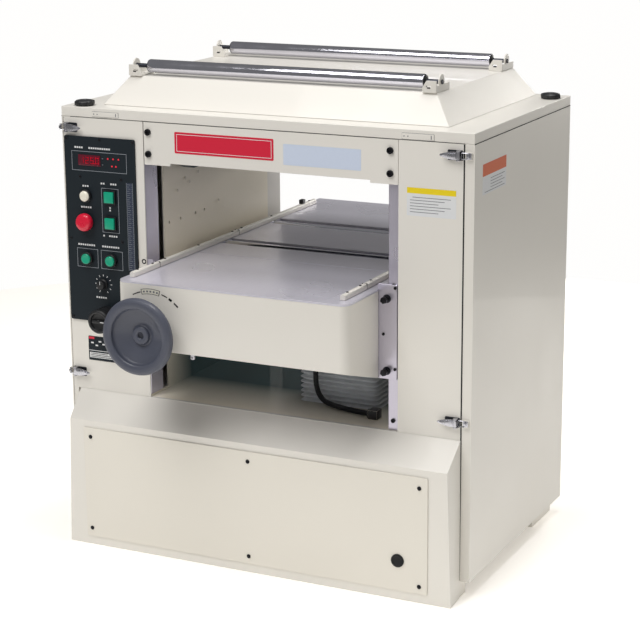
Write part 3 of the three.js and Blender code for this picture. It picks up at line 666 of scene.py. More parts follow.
# every other node is cream
FINISHED_NODES = (
    (CABINET_CREAM, "base_frame left_column right_column"),
    (BASE_CREAM, "base_front_cover"),
    (STEEL_UP, "front_way_left front_way_right gib_left gib_right"),
    (SHEEN_STEEL_ALONG, "table_bed table_front_plate table_rear_extension"),
    (STEEL_ACROSS, "infeed_roller lead_screw"),
    (DARK_STEEL, "cutterhead feed_sprocket feed_chain"),
    (CAST, "head_casting cutterhead_pulley motor_pulley pressure_bar lift_gearbox"),
    (RUBBER, "drive_belt table_cable"),
    (ROLLER_RUBBER, "outfeed_roller"),
    (MOTOR, "main_motor feed_motor lift_motor"),
    (CHROME, "return_roller_front return_roller_rear bed_roller_front bed_roller_rear"),
    (CHROME, "latch_lever_left_top latch_lever_left_bottom latch_lever_right_top latch_lever_right_bottom"),
    (BLACK, "cover_knob_front cover_knob_rear speed_knob feed_speed_selector"),
    (PANEL, "control_panel"),
    (RED, "emergency_stop"),
    (GREEN, "button_table_up button_table_down button_feed button_cutter"),
    (BRONZE, "lift_nut"),
    (BELLOWS, "lift_bellows"),
    (WHEEL, "handwheel"),
)
CAD_FINISHES = {node: finish for finish, nodes in FINISHED_NODES for node in nodes.split()}
EDGE_RADII = {"base_frame": 1.2, "top_lid": 1.5, "dust_hood": 1.5, "control_panel": 0.5}


def dress_cad_nodes():
    """Gives each CAD node its finish and rolls its sharp edges over a little."""
    for name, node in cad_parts.items():
        node.data.materials.clear()
        node.data.materials.append(CAD_FINISHES.get(name, CREAM))
        node.data.shade_smooth()
        weld = node.modifiers.new("weld", "WELD")
        weld.merge_threshold = 2e-5
        bevel = node.modifiers.new("edges", "BEVEL")
        bevel.width = EDGE_RADII.get(name, 0.7) * MM
        bevel.segments = 2
        bevel.limit_method = "ANGLE"
        bevel.angle_limit = math.radians(35)
        normals = node.modifiers.new("flat_faces", "WEIGHTED_NORMAL")
        normals.weight = 90


# ---------------------------------------------------------------- cabinet, lid and header

CREAM_SLOT, STEEL_SLOT, CAST_SLOT, DARK_SLOT = "cream_paint", "ground_steel", "cast_iron", "dark_steel"
CHROME_SLOT, RUBBER_SLOT, MOTOR_SLOT, BLACK_SLOT = "chrome", "black_rubber", "motor_paint", "black_plastic"
PANEL_SLOT, RED_SLOT, GREEN_SLOT, WHEEL_SLOT = "panel_paint", "red_plastic", "green_plastic", "wheel_paint"
BELLOWS_SLOT = "bellows_cloth"


def header_details():
    """Four socket screws and two plain printed plates on the header."""
    bolts = Shape()
    for x, z in ((-281, 1000), (-281, 950), (320, 998.7), (320, 949)):
        socket_bolt(bolts, "y", x, z, 0, 7.5, -1, OXIDE)
    bolts.done("header_bolts", "frame", BLACK_SLOT)
    red = Shape().prism("y", rectangle(-212, 39, 956.5, 1005, 3), -0.5, 0.1, RED_PLATE, 0)
    frame_line(red, -207, 34, 961, 1000.5, -0.5, 1.2, WHITE_INK, 0.15)
    red.done("header_plate_red", "frame", RED_SLOT)
    blue = Shape().prism("y", rectangle(63, 251, 949.5, 996, 2), -0.4, 0.1, BLUE_PLATE, 0)
    blue.done("header_plate_pale", "frame", CREAM_SLOT)


def label(name, body, axis, face, way, u0, u1, v0, v1, band, band_finish, bars):
    """A plain stuck-on label: a coloured band over white, with grey bars where text would be."""
    made = Shape()
    levels = [sorted((face - way * 0.05, face + way * height)) for height in (0.18, 0.24)]
    made.prism(axis, rectangle(u0, u1, v0, v1, 1.5), *levels[0], WHITE_INK, 0)
    made.prism(axis, rectangle(u0 + 0.4, u1 - 0.4, v1 - band, v1 - 0.4), *levels[1], band_finish, 0)
    for start, end, height in bars:
        made.prism(axis, rectangle(start, end, height, height + 1.3), *levels[1], DARK_INK, 0)
    made.done(name, body, CREAM_SLOT)


def labels():
    lines = [(366 if k else 372, 372 + 88 * (1 - 0.16 * (k % 3)), 901 - 6.4 * k) for k in range(6)]
    label("column_label", "frame", "y", 0, -1, 358.6, 472.3, 861, 923, 13, YELLOW_PLATE, lines)
    lines = [(95 if k < 4 else 60, 180 - 14 * (k % 2), 937 - 6.5 * k) for k in range(5)]
    label("door_label", "door_right", "x", 513, 1, 47, 190, 907, 974, 27, ORANGE_PLATE, lines)


def cover_screws():
    """The screws that hold the cover on the front of the base, and a rubber plug beside them."""
    made = Shape()
    face = span("base_front_cover")[2]
    for x, z in ((-426, 272.6), (-5, 271), (419, 270), (-430.5, 42.6), (-6, 40.6), (420, 39.6)):
        pan_screw(made, "y", x, z, face, 5, -1, OXIDE)
    made.done("cover_screws", "frame", BLACK_SLOT)
    plug = [(0, face), (15.5, face), (15.5, face - 2.5), (11, face - 3.4), (10, face - 2), (0, face - 2)]
    Shape().turned("y", 368, 93.5, plug, RUBBER, 48, 0.7).done("base_plug", "frame", RUBBER_SLOT)


def lid_tabs():
    """Two small catch plates on the front edge of the lid, outlined by a dark seam."""
    made = Shape()
    for x0, x1, z0, z1 in ((-428.6, -359, 1027.5, 1038.5), (347, 420.5, 1026, 1038.5)):
        made.prism("y", rectangle(x0 - 0.6, x1 + 0.6, z0 - 0.6, z1 + 0.6, 1), -0.35, 0.1, DARK_INK, 0)
        made.prism("y", rectangle(x0, x1, z0, z1, 1), -1.5, 0.1, CREAM, 0.3)
        for x in (x0 + 5, x0 + 14):
            made.turned("y", x, (z0 + z1) / 2, [(0, -1), (1.3, -1), (1.3, -1.9), (0, -2)], DARK_INK, 16)
        made.box(x1 - 7, x1 - 5, -1.8, -1, z0 + 2, z1 - 2, DARK_INK, 0.2)
    made.done("lid_catch_plates", "frame", CREAM_SLOT)


def seams():
    """Dark rubber strips in the gaps round the doors and under the lid."""
    made = Shape()
    made.box(488, 490.7, -0.3, 2, 42, 1022, RUBBER, 0)
    for side in (-1, 1):
        made.box(*sorted((side * 512.6, side * 513.15)), 0, 621, 1022.8, 1024.6, RUBBER, 0)
    made.box(-489, 489, -0.15, 0.4, 1023.2, 1024.2, RUBBER, 0)
    made.done("cabinet_seams", "frame", RUBBER_SLOT)


def cover_knobs():
    """The black hand knobs that hold the top cover, with scalloped rims."""
    for node in ("cover_knob_front", "cover_knob_rear"):
        x, y = centre_of(node, "z")
        low, high = span(node)[4:]
        stem = [(0, low), (4.5, low), (4.5, high - 13.5), (20, high - 13.5)]
        head = [(22.6, high - 11), (23.4, high - 5.5), (20, high - 2), (11, high - 0.3), (0, high)]
        made = Shape().turned("z", x, y, stem + head, BLACK, 64, 1.2)
        grip = [(0, high - 12.5), (3.4, high - 12), (3.4, high - 4.5), (2, high - 2.8), (0, high - 2.6)]
        for u, v in polygon(x, y, 20.6, 8):
            made.turned("z", u, v, grip, BLACK, 20)
        made.turned("z", x, y, [(0, high - 0.6), (5, high - 0.6), (5, high - 0.1), (0, high)], CHROME, 32)
        made.done(node + "_detail", node, BLACK_SLOT, [node])


def return_rollers():
    """Chromed tubes on pins, with dark bearing ends."""
    for node in ("return_roller_front", "return_roller_rear"):
        y, z = centre_of(node, "x")
        end = span(node)[1]
        cap = [(0, 345), (14.6, 345), (14.6, 347.6), (12, 349), (7.5, 349.4), (7.5, 351), (0, 351)]
        pin = [(0, 349), (5, 349), (5, end - 1), (4.2, end), (0, end)]
        made = Shape().rod("x", y, z, 15.4, -346, 346, CHROME, 96, 0.8)
        for way in (-1, 1):
            made.turned("x", y, z, [(r, way * at) for r, at in cap], BLACK, 64, 0.6)
            made.turned("x", y, z, [(r, way * at) for r, at in pin], DARK_STEEL, 32)
        made.done(node + "_detail", node, CHROME_SLOT, [node])


def bracket_details():
    """Slots and fixing screws on the four brackets that carry the return rollers."""
    made = Shape()
    for end in ("front", "rear"):
        for side, way in (("left", -1), ("right", 1)):
            x0, x1, y0, y1, low = span(f"roller_bracket_{end}_{side}")[:5]
            inner = x0 if way > 0 else x1
            middle = (x0 + x1) / 2
            slot = rectangle(middle - 5, middle + 3, low + 9, low + 12, 1.3)
            made.prism("y", slot, y0 - 0.25, y0 + 0.2, OXIDE, 0)
            for y in (y0 + 8, y1 - 8):
                pan_screw(made, "z", inner + way * 9, y, low + 2, 3.4, 1, CHROME)
    made.done("bracket_screws", "frame", CHROME_SLOT)


# ---------------------------------------------------------------- latches


LEVER_HALVES = ((0.0, 8.3), (0.28, 8.6), (0.55, 7.2), (0.8, 4.6), (0.94, 2.6), (1.0, 0.8))


def lever_outline(pivot, reach, z, near=0.0, length=1.0, height=1.0):
    """A lever tapering from its pivot. The reach has a sign, for the side that it points to."""
    upper = [(pivot - reach * (near + t * length), half * height) for t, half in LEVER_HALVES]
    return [(x, z + half) for x, half in upper] + [(x, z - half) for x, half in reversed(upper)]


def latches():
    """Over-centre latches: a dished lever, the plate it turns on, its wire bail and the hook it pulls."""
    plates, bails = Shape(), Shape()
    for side, way, keeper in (("left", -1, -513.2), ("right", 1, 501.5)):
        hooks = Shape()
        for level in ("top", "bottom"):
            node = f"latch_lever_{side}_{level}"
            x0, x1, y0, y1, z0, z1 = span(node)
            z = (z0 + z1) / 2
            pivot, tip = (x1 - 3.9, x0) if way > 0 else (x0 + 3.9, x1)
            ends = sorted((pivot - way * 27, pivot + way * 8))
            plates.prism("y", rectangle(*ends, z - 11, z + 11, 2.5), -1.6, 0, DARK_STEEL, 0.4)
            lug = [(pivot + way * x, y) for x, y in ((-6, -1.2), (6, -1.2), (4, -13), (-4, -13))]
            for low in (z - 10.6, z + 8.8):
                plates.prism("z", filleted(lug, 3, closed=True), low, low + 1.8, ZINC, 0.3)
            plates.rod("x", -6.5, z, 3, pivot - way * 26, pivot - way * 25, ZINC, 16)
            made = Shape().prism("y", lever_outline(pivot, pivot - tip, z), -11.4, -9.4, ZINC, 0.8)
            made.prism("y", lever_outline(pivot, pivot - tip, z, 0.12, 0.76, 0.62), -12.8, -11.2, ZINC, 0.9)
            made.rod("z", pivot, (y0 + y1) / 2, 3.7, z - 8.6, z + 8.6, ZINC, 32, 0.5)
            made.done(node + "_detail", node.replace("_lever", ""), CHROME_SLOT, [node])
            near, far, half, depth = pivot + way * 5.4, keeper + way * 0.5, 6.5, -5.1
            lower = [(near, depth, -half), (far - way * 3, -7.6, -half), (far, -7.2, 3 - half)]
            wire = lower + [(x, y, -height) for x, y, height in reversed(lower)]
            bails.tube([(x, y, z + height) for x, y, height in wire], 1.2, ZINC, 10, closed=True)
            edge = 2.4 if way < 0 else 6
            hooks.box(keeper - edge, keeper + edge, -5.8, -4.9, z - 7, z + 7, ZINC, 0.3)
            hook = ((-2.4, -5), (2.2, -5), (2.2, -9.6), (-2.4, -9.9), (-2.4, -9), (0.9, -8.7))
            hooks.prism("z", [(keeper + way * x, y) for x, y in hook], z - 3, z + 3, ZINC, 0.2)
        hooks.done(f"keeper_hooks_{side}", f"door_{side}", CHROME_SLOT)
    plates.done("latch_plates", "frame", CHROME_SLOT)
    bails.done("latch_bails", "frame", CHROME_SLOT)


# ---------------------------------------------------------------- control panel

PANEL_FACE = span("control_panel")[2]
SEGMENTS = {"1": "bc", "2": "abged", "5": "afgcd", "0": "abcdef"}


def seven_segment(shape, text, x, z, width, height, finish):
    """Lit digits; a full stop takes the space between two of them."""
    stroke, face, half = height * 0.11, PANEL_FACE - 1.6, height / 2
    strokes = {
        "a": (0, width, height - stroke, height),
        "b": (width - stroke, width, half, height),
        "c": (width - stroke, width, 0, half),
        "d": (0, width, 0, stroke),
        "e": (0, stroke, 0, half),
        "f": (0, stroke, half, height),
        "g": (0, width, (height - stroke) / 2, (height + stroke) / 2),
    }
    for character in text:
        if character == ".":
            shape.box(x - 3.4, x - 1.6, face, face + 0.3, z, z + stroke, finish, 0)
            continue
        for segment in SEGMENTS[character]:
            u0, u1, v0, v1 = strokes[segment]
            shape.box(x + u0, x + u1, face, face + 0.3, z + v0, z + v1, finish, 0)
        x += width + 5


# borders as x0, x1, z0, z1, and rows of dashes as x0, x1 and height
PANEL_BORDERS = (
    (-486.6, -338.2, 900, 945.6),
    (-409, -363, 758, 862.6),
    (-481.6, -424.4, 670, 715),
    (-416, -357, 670, 715),
)
PANEL_DASHES = (
    (-460, -442, 862), (-410, -398, 871), (-384, -366, 871), (-466, -436, 812), (-408, -398, 748),
    (-392, -366, 748), (-389, -381, 815), (-389, -381, 809), (-478, -430, 722), (-412, -362, 722),
    (-433, -400, 598), (-478, -450, 952), (-440, -380, 952),
)


def panel_print():
    """Borders, scale ticks, dial marks and plain dashes, printed on the panel."""
    made, face = Shape(), PANEL_FACE
    for borders in PANEL_BORDERS:
        frame_line(made, *borders, face, 0.9, PALE_INK)
    for x0, x1, z in PANEL_DASHES:
        for k in range(int((x1 - x0) / 6)):
            made.box(x0 + 6 * k, x0 + 6 * k + 4.2, face - 0.3, face + 0.1, z, z + 4, WHITE_INK, 0)
    made.box(-340, -324, face - 0.2, face + 0.1, 672.5, 879, SCALE_BLUE, 0)
    for k in range(41):
        z = 675 + 5 * k
        made.box(-339, -333 if k % 2 else -330, face - 0.35, face - 0.1, z, z + 0.6, PALE_INK, 0)
        made.box(-327, -325, face - 0.35, face - 0.1, z, z + 0.6, PALE_INK, 0)
    for x in (-341, -324.6):
        made.box(x, x + 0.6, face - 0.35, face + 0.1, 672.5, 879, PALE_INK, 0)
    x, z = centre_of("speed_knob", "y")
    for k in range(11):
        turn = math.radians(-60 + 30 * k)
        polar = [(r, turn + a) for r, a in ((19, -0.04), (19, 0.04), (23, 0.035), (23, -0.035))]
        mark = [(x + r * math.cos(a), z + r * math.sin(a)) for r, a in polar]
        made.prism("y", mark, face - 0.3, face + 0.1, WHITE_INK, 0)
    made.done("panel_print", "frame", PANEL_SLOT)


LAMP = (-451, 841)
PANEL_SCREWS = (
    (-499.9, 973.5), (-409.7, 974.5), (-321.2, 973.8), (-465.5, 885.2), (-354.6, 885.2), (-496.8, 737.1),
    (-356.8, 738.5), (-499, 547), (-322, 547),
)


def panel_fittings():
    """The readout, indicator lights, lamp, button collars and screws of the panel."""
    face = PANEL_FACE
    window = rectangle(-468.5, -408.5, 912.5, 937.5, 1.5)
    readout = Shape().prism("y", window, face - 1.6, face + 0.1, GLASS, 0.3)
    seven_segment(readout, "125.0", -462, 917.5, 8.5, 15, LED)
    lights = ((-388.3, 931.7), (-374, 931.7), (-359.7, 931.7), (-377.6, 914.8), (-366.8, 914.8))
    for finish, radius, places in ((LED, 1.9, lights), (DARK_INK, 1.5, ((-402.6, 931), (-402.6, 917)))):
        dome = [(0, face), (radius, face), (radius, face - 0.8), (radius * 0.6, face - 1.7), (0, face - 2)]
        for x, z in places:
            readout.turned("y", x, z, dome, finish, 16)
    readout.done("panel_readout", "frame", BLACK_SLOT)
    collars = Shape()
    for node in ("button_table_up", "button_table_down"):
        x, z = centre_of(node, "y")
        uprights = (-15.6, -13, -16, 16), (13, 15.6, -16, 16)
        crossbars = (-13.2, 13.2, -16, -13.5), (-13.2, 13.2, 13.5, 16)
        for left, right, low, high in uprights + crossbars:
            collars.box(x + left, x + right, face - 6, face, z + low, z + high, BLACK, 0.4)
    for node in ("button_feed", "button_cutter"):
        ring = [(12.6, face), (15.5, face), (15.5, face - 9), (14.9, face - 9.6), (12.6, face - 9.6)]
        collars.turned("y", *centre_of(node, "y"), ring, BLACK, 48)
    ring = [(9, face), (16.5, face), (16.5, face - 5), (15.5, face - 6), (9, face - 6)]
    collars.turned("y", *centre_of("emergency_stop", "y"), ring, BLACK, 48)
    socket = [(0, face), (15.5, face), (15.5, face - 7), (14.6, face - 8), (0, face - 8)]
    collars.turned("y", *LAMP, socket, BLACK, 48, 0.5)
    collars.done("button_collars", "frame", BLACK_SLOT)
    crown = [(12.3, face - 10), (9.5, face - 12), (5, face - 13.2), (0, face - 13.5)]
    lens = [(0, face - 7), (12.5, face - 7)] + crown
    Shape().turned("y", *LAMP, lens, WHITE_LAMP, 48, 0.6).done("panel_lamp", "frame", CREAM_SLOT)
    screws = Shape()
    for x, z in PANEL_SCREWS:
        pan_screw(screws, "y", x, z, face, 3.3, -1, OXIDE)
    screws.done("panel_screws", "frame", BLACK_SLOT)


CAP_BACK = -8.6  # the backs of the button caps, clear of the panel when they are pressed


def panel_controls():
    """The pieces that are pressed or turned."""
    head = span("emergency_stop")[2]
    stem = [(0, -1.2), (7.5, -1.2), (7.5, head + 11), (17.6, head + 11), (17.6, head + 17)]
    mushroom = [(20.9, head + 17), (21, head + 8), (18.5, head + 3), (12, head + 0.6), (0, head)]
    made = Shape().turned("y", *centre_of("emergency_stop", "y"), stem + mushroom, RED, 72, 1.2)
    made.done("emergency_stop_head", "emergency_stop", RED_SLOT, ["emergency_stop"])
    for node in ("button_table_up", "button_table_down"):
        x0, x1, y0, y1, z0, z1 = span(node)
        made = Shape().prism("y", rectangle(x0, x1, z0, z1, 2), y0, CAP_BACK, GREEN, 1.1)
        made.rod("y", (x0 + x1) / 2, (z0 + z1) / 2, 3.6, CAP_BACK + 0.5, y1, BLACK, 24)
        made.done(node + "_cap", node, GREEN_SLOT, [node])
    for node in ("button_feed", "button_cutter"):
        top = span(node)[2]
        stem = [(0, -1), (3.6, -1), (3.6, CAP_BACK), (12, CAP_BACK), (12, top + 1.5)]
        cap = [(10.6, top + 0.2), (8, top), (7, top + 0.5), (0, top + 0.8)]
        made = Shape().turned("y", *centre_of(node, "y"), stem + cap, GREEN, 64, 0.4)
        made.done(node + "_cap", node, GREEN_SLOT, [node])
    x, z = centre_of("speed_knob", "y")
    top = span("speed_knob")[2]
    profile = [(0, -4.4), (13, -4.4), (12.6, -9), (10.5, -10.5), (9.8, top + 0.6), (0, top)]
    made = Shape().turned("y", x, z, profile, BLACK, 64, 0.7)
    for u, v in polygon(x, z, 10.1, 16):
        made.turned("y", u, v, [(0, -10.4), (0.9, -10.4), (0.8, top + 1.2), (0, top + 1)], BLACK, 8)
    made.box(x - 0.6, x + 0.6, top - 0.05, top + 0.5, z + 2, z + 9.4, WHITE_INK, 0)
    made.done("speed_knob_cap", "speed_knob", BLACK_SLOT, ["speed_knob"])


def feed_selector():
    """A deep round selector with ribbed sides and a recessed face."""
    node = "feed_speed_selector"
    x, z = centre_of(node, "y")
    front, back = span(node)[2:4]
    base = [(0, back), (18, back), (18, back - 5), (26, back - 6), (28.4, back - 9), (28.4, front + 4)]
    rim = [(26.5, front + 0.8), (24, front), (20.5, front + 1.5), (19.5, front + 7), (0, front + 8)]
    made = Shape().turned("y", x, z, base + rim, BLACK, 96, 0.8)
    rib = [(0, back - 9.5), (0.7, back - 9.8), (0.7, front + 5.5), (0, front + 5)]
    for u, v in polygon(x, z, 28.3, 36):
        made.turned("y", u, v, rib, BLACK, 8)
    made.box(x - 17, x + 17, front + 1.5, front + 8.5, z - 4, z + 4, BLACK, 1.2)
    made.box(x - 1, x + 1, front + 1.2, front + 2, z + 4, z + 4.2, WHITE_INK, 0)
    made.box(x + 6, x + 16, front + 1.3, front + 1.8, z - 0.8, z + 0.8, WHITE_INK, 0)
    made.done(node + "_knob", node, BLACK_SLOT, [node])


def instruction_plate():
    """A plain data plate under the selector: dark with a pale lower part and bars, no lettering."""
    made = Shape().prism("y", rectangle(-462.6, -388, 442.6, 501.7, 2), -0.7, 0.1, PANEL, 0.2)
    levels = (-0.95, -0.6)
    made.prism("y", rectangle(-461, -446, 494.5, 500.2), *levels, RED_PLATE, 0)
    made.prism("y", rectangle(-459.5, -391, 449, 462), *levels, WHITE_INK, 0)
    for k in range(3):
        made.prism("y", rectangle(-456, -396 - 7 * k, 451 + 3.8 * k, 452.4 + 3.8 * k), -1.1, -0.9, OXIDE, 0)
    for x, z in ((-455, 484), (-443, 478), (-434, 488), (-424, 482), (-413, 490), (-403, 480)):
        made.prism("y", rectangle(x, x + 7, z, z + 3.4), *levels, WHITE_INK, 0)
    made.prism("y", rectangle(-461, -390, 466, 467.4), *levels, WHITE_INK, 0)
    made.done("instruction_plate", "frame", PANEL_SLOT)


# ---------------------------------------------------------------- table


def gib_bolts():
    """Adjusting bolts with lock nuts in the table's gibs, and set screws at their edges."""
    made = Shape()
    for x, z in ((311, 670.7), (311, 506.7)):
        hex_bolt(made, "y", x, z, -9, 8, -1, OXIDE, 8, False)
        made.rod("y", x, z, 4, -9.5, 3.4, DARK_STEEL, 24)
        made.prism("y", polygon(x, z, 8, 6, 0.5), -3.6, 2.2, OXIDE, 0.6)
        made.rod("y", x, z, 9.5, 2, 3.5, DARK_STEEL, 32)
    for x, z in ((331, 696), (331, 512), (303, 590)):
        socket_bolt(made, "y", x, z, 3.5, 3.4, -1, OXIDE)
    for z in (697, 590, 505):
        socket_bolt(made, "y", -302, z, 3.5, 6, -1, OXIDE)
    made.done("gib_bolts", "table", DARK_SLOT)


def rail_details():
    """Joints and screws of the side rails, and the stop on the left one."""
    made = Shape()
    for node in ("rail_left", "rail_right"):
        x0, x1 = span(node)[:2]
        z0, z1 = span(node)[4:]
        for y in (-10, 375):
            made.box(x0 - 0.2, x1 + 0.2, y - 0.8, y + 0.8, z0 + 0.4, z1 + 0.2, OXIDE, 0)
        for y in (-100, -34, 22, 180, 350, 398, 560, 780):
            socket_bolt(made, "z", (x0 + x1) / 2, y, z1 - 0.6, 2.9, 1, OXIDE)
    made.done("rail_screws", "table", DARK_SLOT)
    x0, x1 = span("rail_left")[:2]
    stop = Shape().box(x0 + 0.5, x0 + 12, 730, 746, 703.4, 714.5, BLACK, 0.8)
    stop.turned("z", x0 + 6, 738, [(0, 714), (3, 714), (3, 715.4), (0, 715.6)], OXIDE, 20)
    stop.done("rail_stop", "table", BLACK_SLOT)


def cover_marks():
    """A printed arc with an arrowhead over the handwheel, and a small fitting under the cover."""
    face = span("table_front_cover")[2]
    made = Shape()
    x, z, radius = -192, 575, 97

    def arc(start, end, half, finish=OXIDE, proud=0.3):
        steps = max(2, int(abs(end - start) / 4))
        turns = [math.radians(start + (end - start) * k / steps) for k in range(steps + 1)]
        band = [(radius + half, a) for a in turns] + [(radius - half, a) for a in reversed(turns)]
        outline = [(x + r * math.cos(a), z + r * math.sin(a)) for r, a in band]
        made.prism("y", outline, face - proud, face + 0.1, finish, 0)

    for start, end, half in ((118, 105, 1.2), (73, 64, 1.2), (61, 56, 2.6), (52, 44, 1.8), (104, 76, 6.2)):
        arc(start, end, half)
    arc(103, 77, 5.1, CREAM_INK, 0.5)
    for k in range(5):
        arc(101 - 5 * k, 98.4 - 5 * k, 2, DARK_INK, 0.7)
    made.done("turning_mark", "table", BLACK_SLOT)
    fitting = Shape().turned("z", -94, -146, [(0, 524), (4.5, 524), (5, 525), (5, 536), (0, 536)], ZINC, 24)
    fitting.turned("y", -94, 528, [(0, -144), (3, -144), (3, -152), (1.8, -154), (0, -154.5)], ZINC, 24)
    fitting.done("grease_fitting", "table", CHROME_SLOT)


def handwheel():
    """The dished handwheel on its shaft."""
    node = "handwheel"
    x, z = centre_of(node, "y")
    x0, x1, front, back = span(node)[:4]
    radius = (x1 - x0) / 2
    rear = front + 48
    hub = [(7.6, 22.6), (9.2, 21), (18.4, 21), (20.6, 23), (21, 27.5), (24.5, 29.5)]
    dish = [(61.5, 13.5), (64, 10), (64.6, 3.6), (67, 1.4), (73, 0.1), (80, 0), (85.6, 2.8)]
    rim = [(radius, 9), (radius, 15), (85, 20), (78, 22), (69, 22.4), (26, 37)]
    boss = [(21, rear - 1.6), (19.5, rear), (7.6, rear)]
    wheel = [(r, front + depth) for r, depth in hub + dish + rim] + boss
    made = Shape().turned("y", x, z, wheel, WHEEL, 128, 1.0)
    nose = [(7.4, rear - 4), (7.4, front + 24.5), (6.4, front + 25.4), (0, front + 25.4)]
    made.turned("y", x, z, [(0, back), (10.8, back), (10.8, rear - 4)] + nose, DARK_STEEL, 40, 0.3)
    made.done("handwheel_rim", node, WHEEL_SLOT, [node])


def bed_rollers():
    """The two free rollers let into the table, with turned-down journals."""
    for node in ("bed_roller_front", "bed_roller_rear"):
        x0, x1, y0, y1, z0, z1 = span(node)
        radius = (z1 - z0) / 2
        left = [(0, x0), (7.4, x0), (8, x0 + 1), (8, -257), (radius - 1.2, -257), (radius, -256)]
        right = [(radius, 261), (radius - 1.2, 262), (8, 262), (8, x1 - 1), (7.4, x1), (0, x1)]
        made = Shape().turned("x", (y0 + y1) / 2, (z0 + z1) / 2, left + right, CHROME, 96)
        made.done(node + "_chrome", node, CHROME_SLOT, [node])


PLEATS, PLEAT_DEPTH, PLEAT_EDGE = 13, 8.0, 0.7


def lift_bellows():
    """A pleated, coated boot round the lifting screw, between the base and the gearbox."""
    x0, x1, y0, y1, z0, z1 = span("lift_bellows")
    part = bmesh.new()
    rings = []
    for k in range(2 * PLEATS + 1):
        inset = PLEAT_DEPTH if k % 2 else 0.4
        z = z0 + (z1 - z0) * k / (2 * PLEATS)
        nudges = {0: (PLEAT_EDGE / 2,), 2 * PLEATS: (-PLEAT_EDGE / 2,)}.get(k, (-PLEAT_EDGE, PLEAT_EDGE))
        outline = rectangle(x0 + inset, x1 - inset, y0 + inset, y1 - inset, 16)
        rings += [[part.verts.new(row(x, y, z + nudge)) for x, y in outline] for nudge in nudges]
    bridge(part, rings)
    piece = Shape().take(part, BELLOWS).done("lift_bellows_pleats", None, BELLOWS_SLOT, ["lift_bellows"], 60)
    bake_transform(piece)


CABLE_ROUTE = [
    (88, 103, 513.6), (88, 103, 480), (88, 103, 448), (90, 102, 420), (98, 101, 398), (114, 99, 384),
    (136, 95, 379), (162, 88, 378), (190, 79, 378.5), (214, 71, 379.6), (236.4, 68, 380),
]
CABLE_RADIUS = 6


def smooth_route(points, steps=8):
    """A Catmull-Rom curve through the points."""
    points = [Vector(p) for p in points]
    points = [points[0] * 2 - points[1]] + points + [points[-1] * 2 - points[-2]]
    made = []
    for a, b, c, d in zip(points, points[1:], points[2:], points[3:]):
        slope, bend, twist = c - a, 2 * a - 5 * b + 4 * c - d, 3 * b - a - 3 * c + d
        for step in range(steps):
            t = step / steps
            made.append(0.5 * (2 * b + slope * t + bend * t * t + twist * t ** 3))
    return made + [points[-2]]


def table_cable():
    """The flexible lead from the lift motor's box to the gland on the base."""
    route = smooth_route(CABLE_ROUTE)
    sheath = Shape().tube(route, CABLE_RADIUS, RUBBER, 24)
    piece = sheath.done("table_cable_sheath", None, RUBBER_SLOT, ["table_cable"])
    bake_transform(piece)
    glands = Shape()
    x, y, z = CABLE_ROUTE[-1]
    nut = [(6.3, x + 0.4), (10.5, x + 0.4), (11, x + 1), (11, x + 5.4), (6.3, x + 5.4)]
    glands.turned("x", y, z, nut, BLACK, 32)
    glands.box(x + 5.2, x + 28, y - 14.4, y + 14.4, 370.4, z + 12.4, BLACK, 2)
    glands.done("cable_gland", "frame", BLACK_SLOT)


# ---------------------------------------------------------------- drives inside the cabinet


def cutterhead():
    """Cutter block with four knives and clamping wedges, its shaft and bearing journals."""
    x0, x1 = span("cutterhead")[:2]
    y, z = centre_of("cutterhead", "x")
    block = [(0, -250), (46.5, -250), (48, -248), (48, 252), (46.5, 254), (0, 254)]
    made = Shape().turned("x", y, z, block, DARK_STEEL, 96)
    left = [(0, x0), (14, x0), (14, -290), (20, -290), (20, -250), (0, -250)]
    right = [(0, 254), (20, 254), (20, 292), (14, 292), (14, x1), (0, x1)]
    for shaft in (left, right):
        made.turned("x", y, z, shaft, STEEL_ACROSS, 48)
    knife, wedge = (40, 50.6, 0, 3, STEEL_ACROSS, 0.3), (38, 48.6, -9, -0.4, CAST, 0.6)
    for k in range(4):
        a = math.pi / 2 * k + 0.4
        out, along = Vector((math.cos(a), math.sin(a))), Vector((-math.sin(a), math.cos(a)))
        for low, high, near, far, finish, edge in (knife, wedge):
            corners = [out * r + along * t for r, t in ((low, near), (high, near), (high, far), (low, far))]
            made.prism("x", [(y + c.x, z + c.y) for c in corners], -248.5, 252.5, finish, edge)
        screw = out * 48.4 + along * -4.7
        for at in range(-225, 240, 75):
            made.rod("x", y + screw.x, z + screw.y, 3.4, at - 4, at + 4, OXIDE, 12)
    made.done("cutterhead_block", "cutterhead", DARK_SLOT, ["cutterhead"])


PULLEY_START, PULLEY_END, GROOVE_PITCH, GROOVES = 404.0, 440.0, 9.0, 3


def belt_pulleys():
    """Grooved pulleys for the cutter belt, the lower one on the motor's shaft."""
    for node, body in (("cutterhead_pulley", "cutterhead"), ("motor_pulley", "motor_pulley")):
        x0, x1, y0, y1, z0, z1 = span(node)
        y, z, radius = (y0 + y1) / 2, (z0 + z1) / 2, (z1 - z0) / 2
        low, high = PULLEY_START, PULLEY_END if node == "cutterhead_pulley" else x1
        profile = [(0, low), (radius - 1, low), (radius, low + 1)]
        for k in range(GROOVES):
            middle = 422 + GROOVE_PITCH * (k - (GROOVES - 1) / 2)
            groove = ((0, -3.6), (9.5, -1.6), (9.5, 1.6), (0, 3.6))
            profile += [(radius - depth, middle + along) for depth, along in groove]
        profile += [(radius, high - 1), (radius - 1, high), (18, high), (18, high - 4), (0, high - 4)]
        made = Shape().turned("x", y, z, profile, CAST, 96)
        if x0 < low - 1:
            made.rod("x", y, z, 14, x0, low + 1, STEEL_ACROSS, 40)
        made.done(node + "_grooved", body, CAST_SLOT, [node])


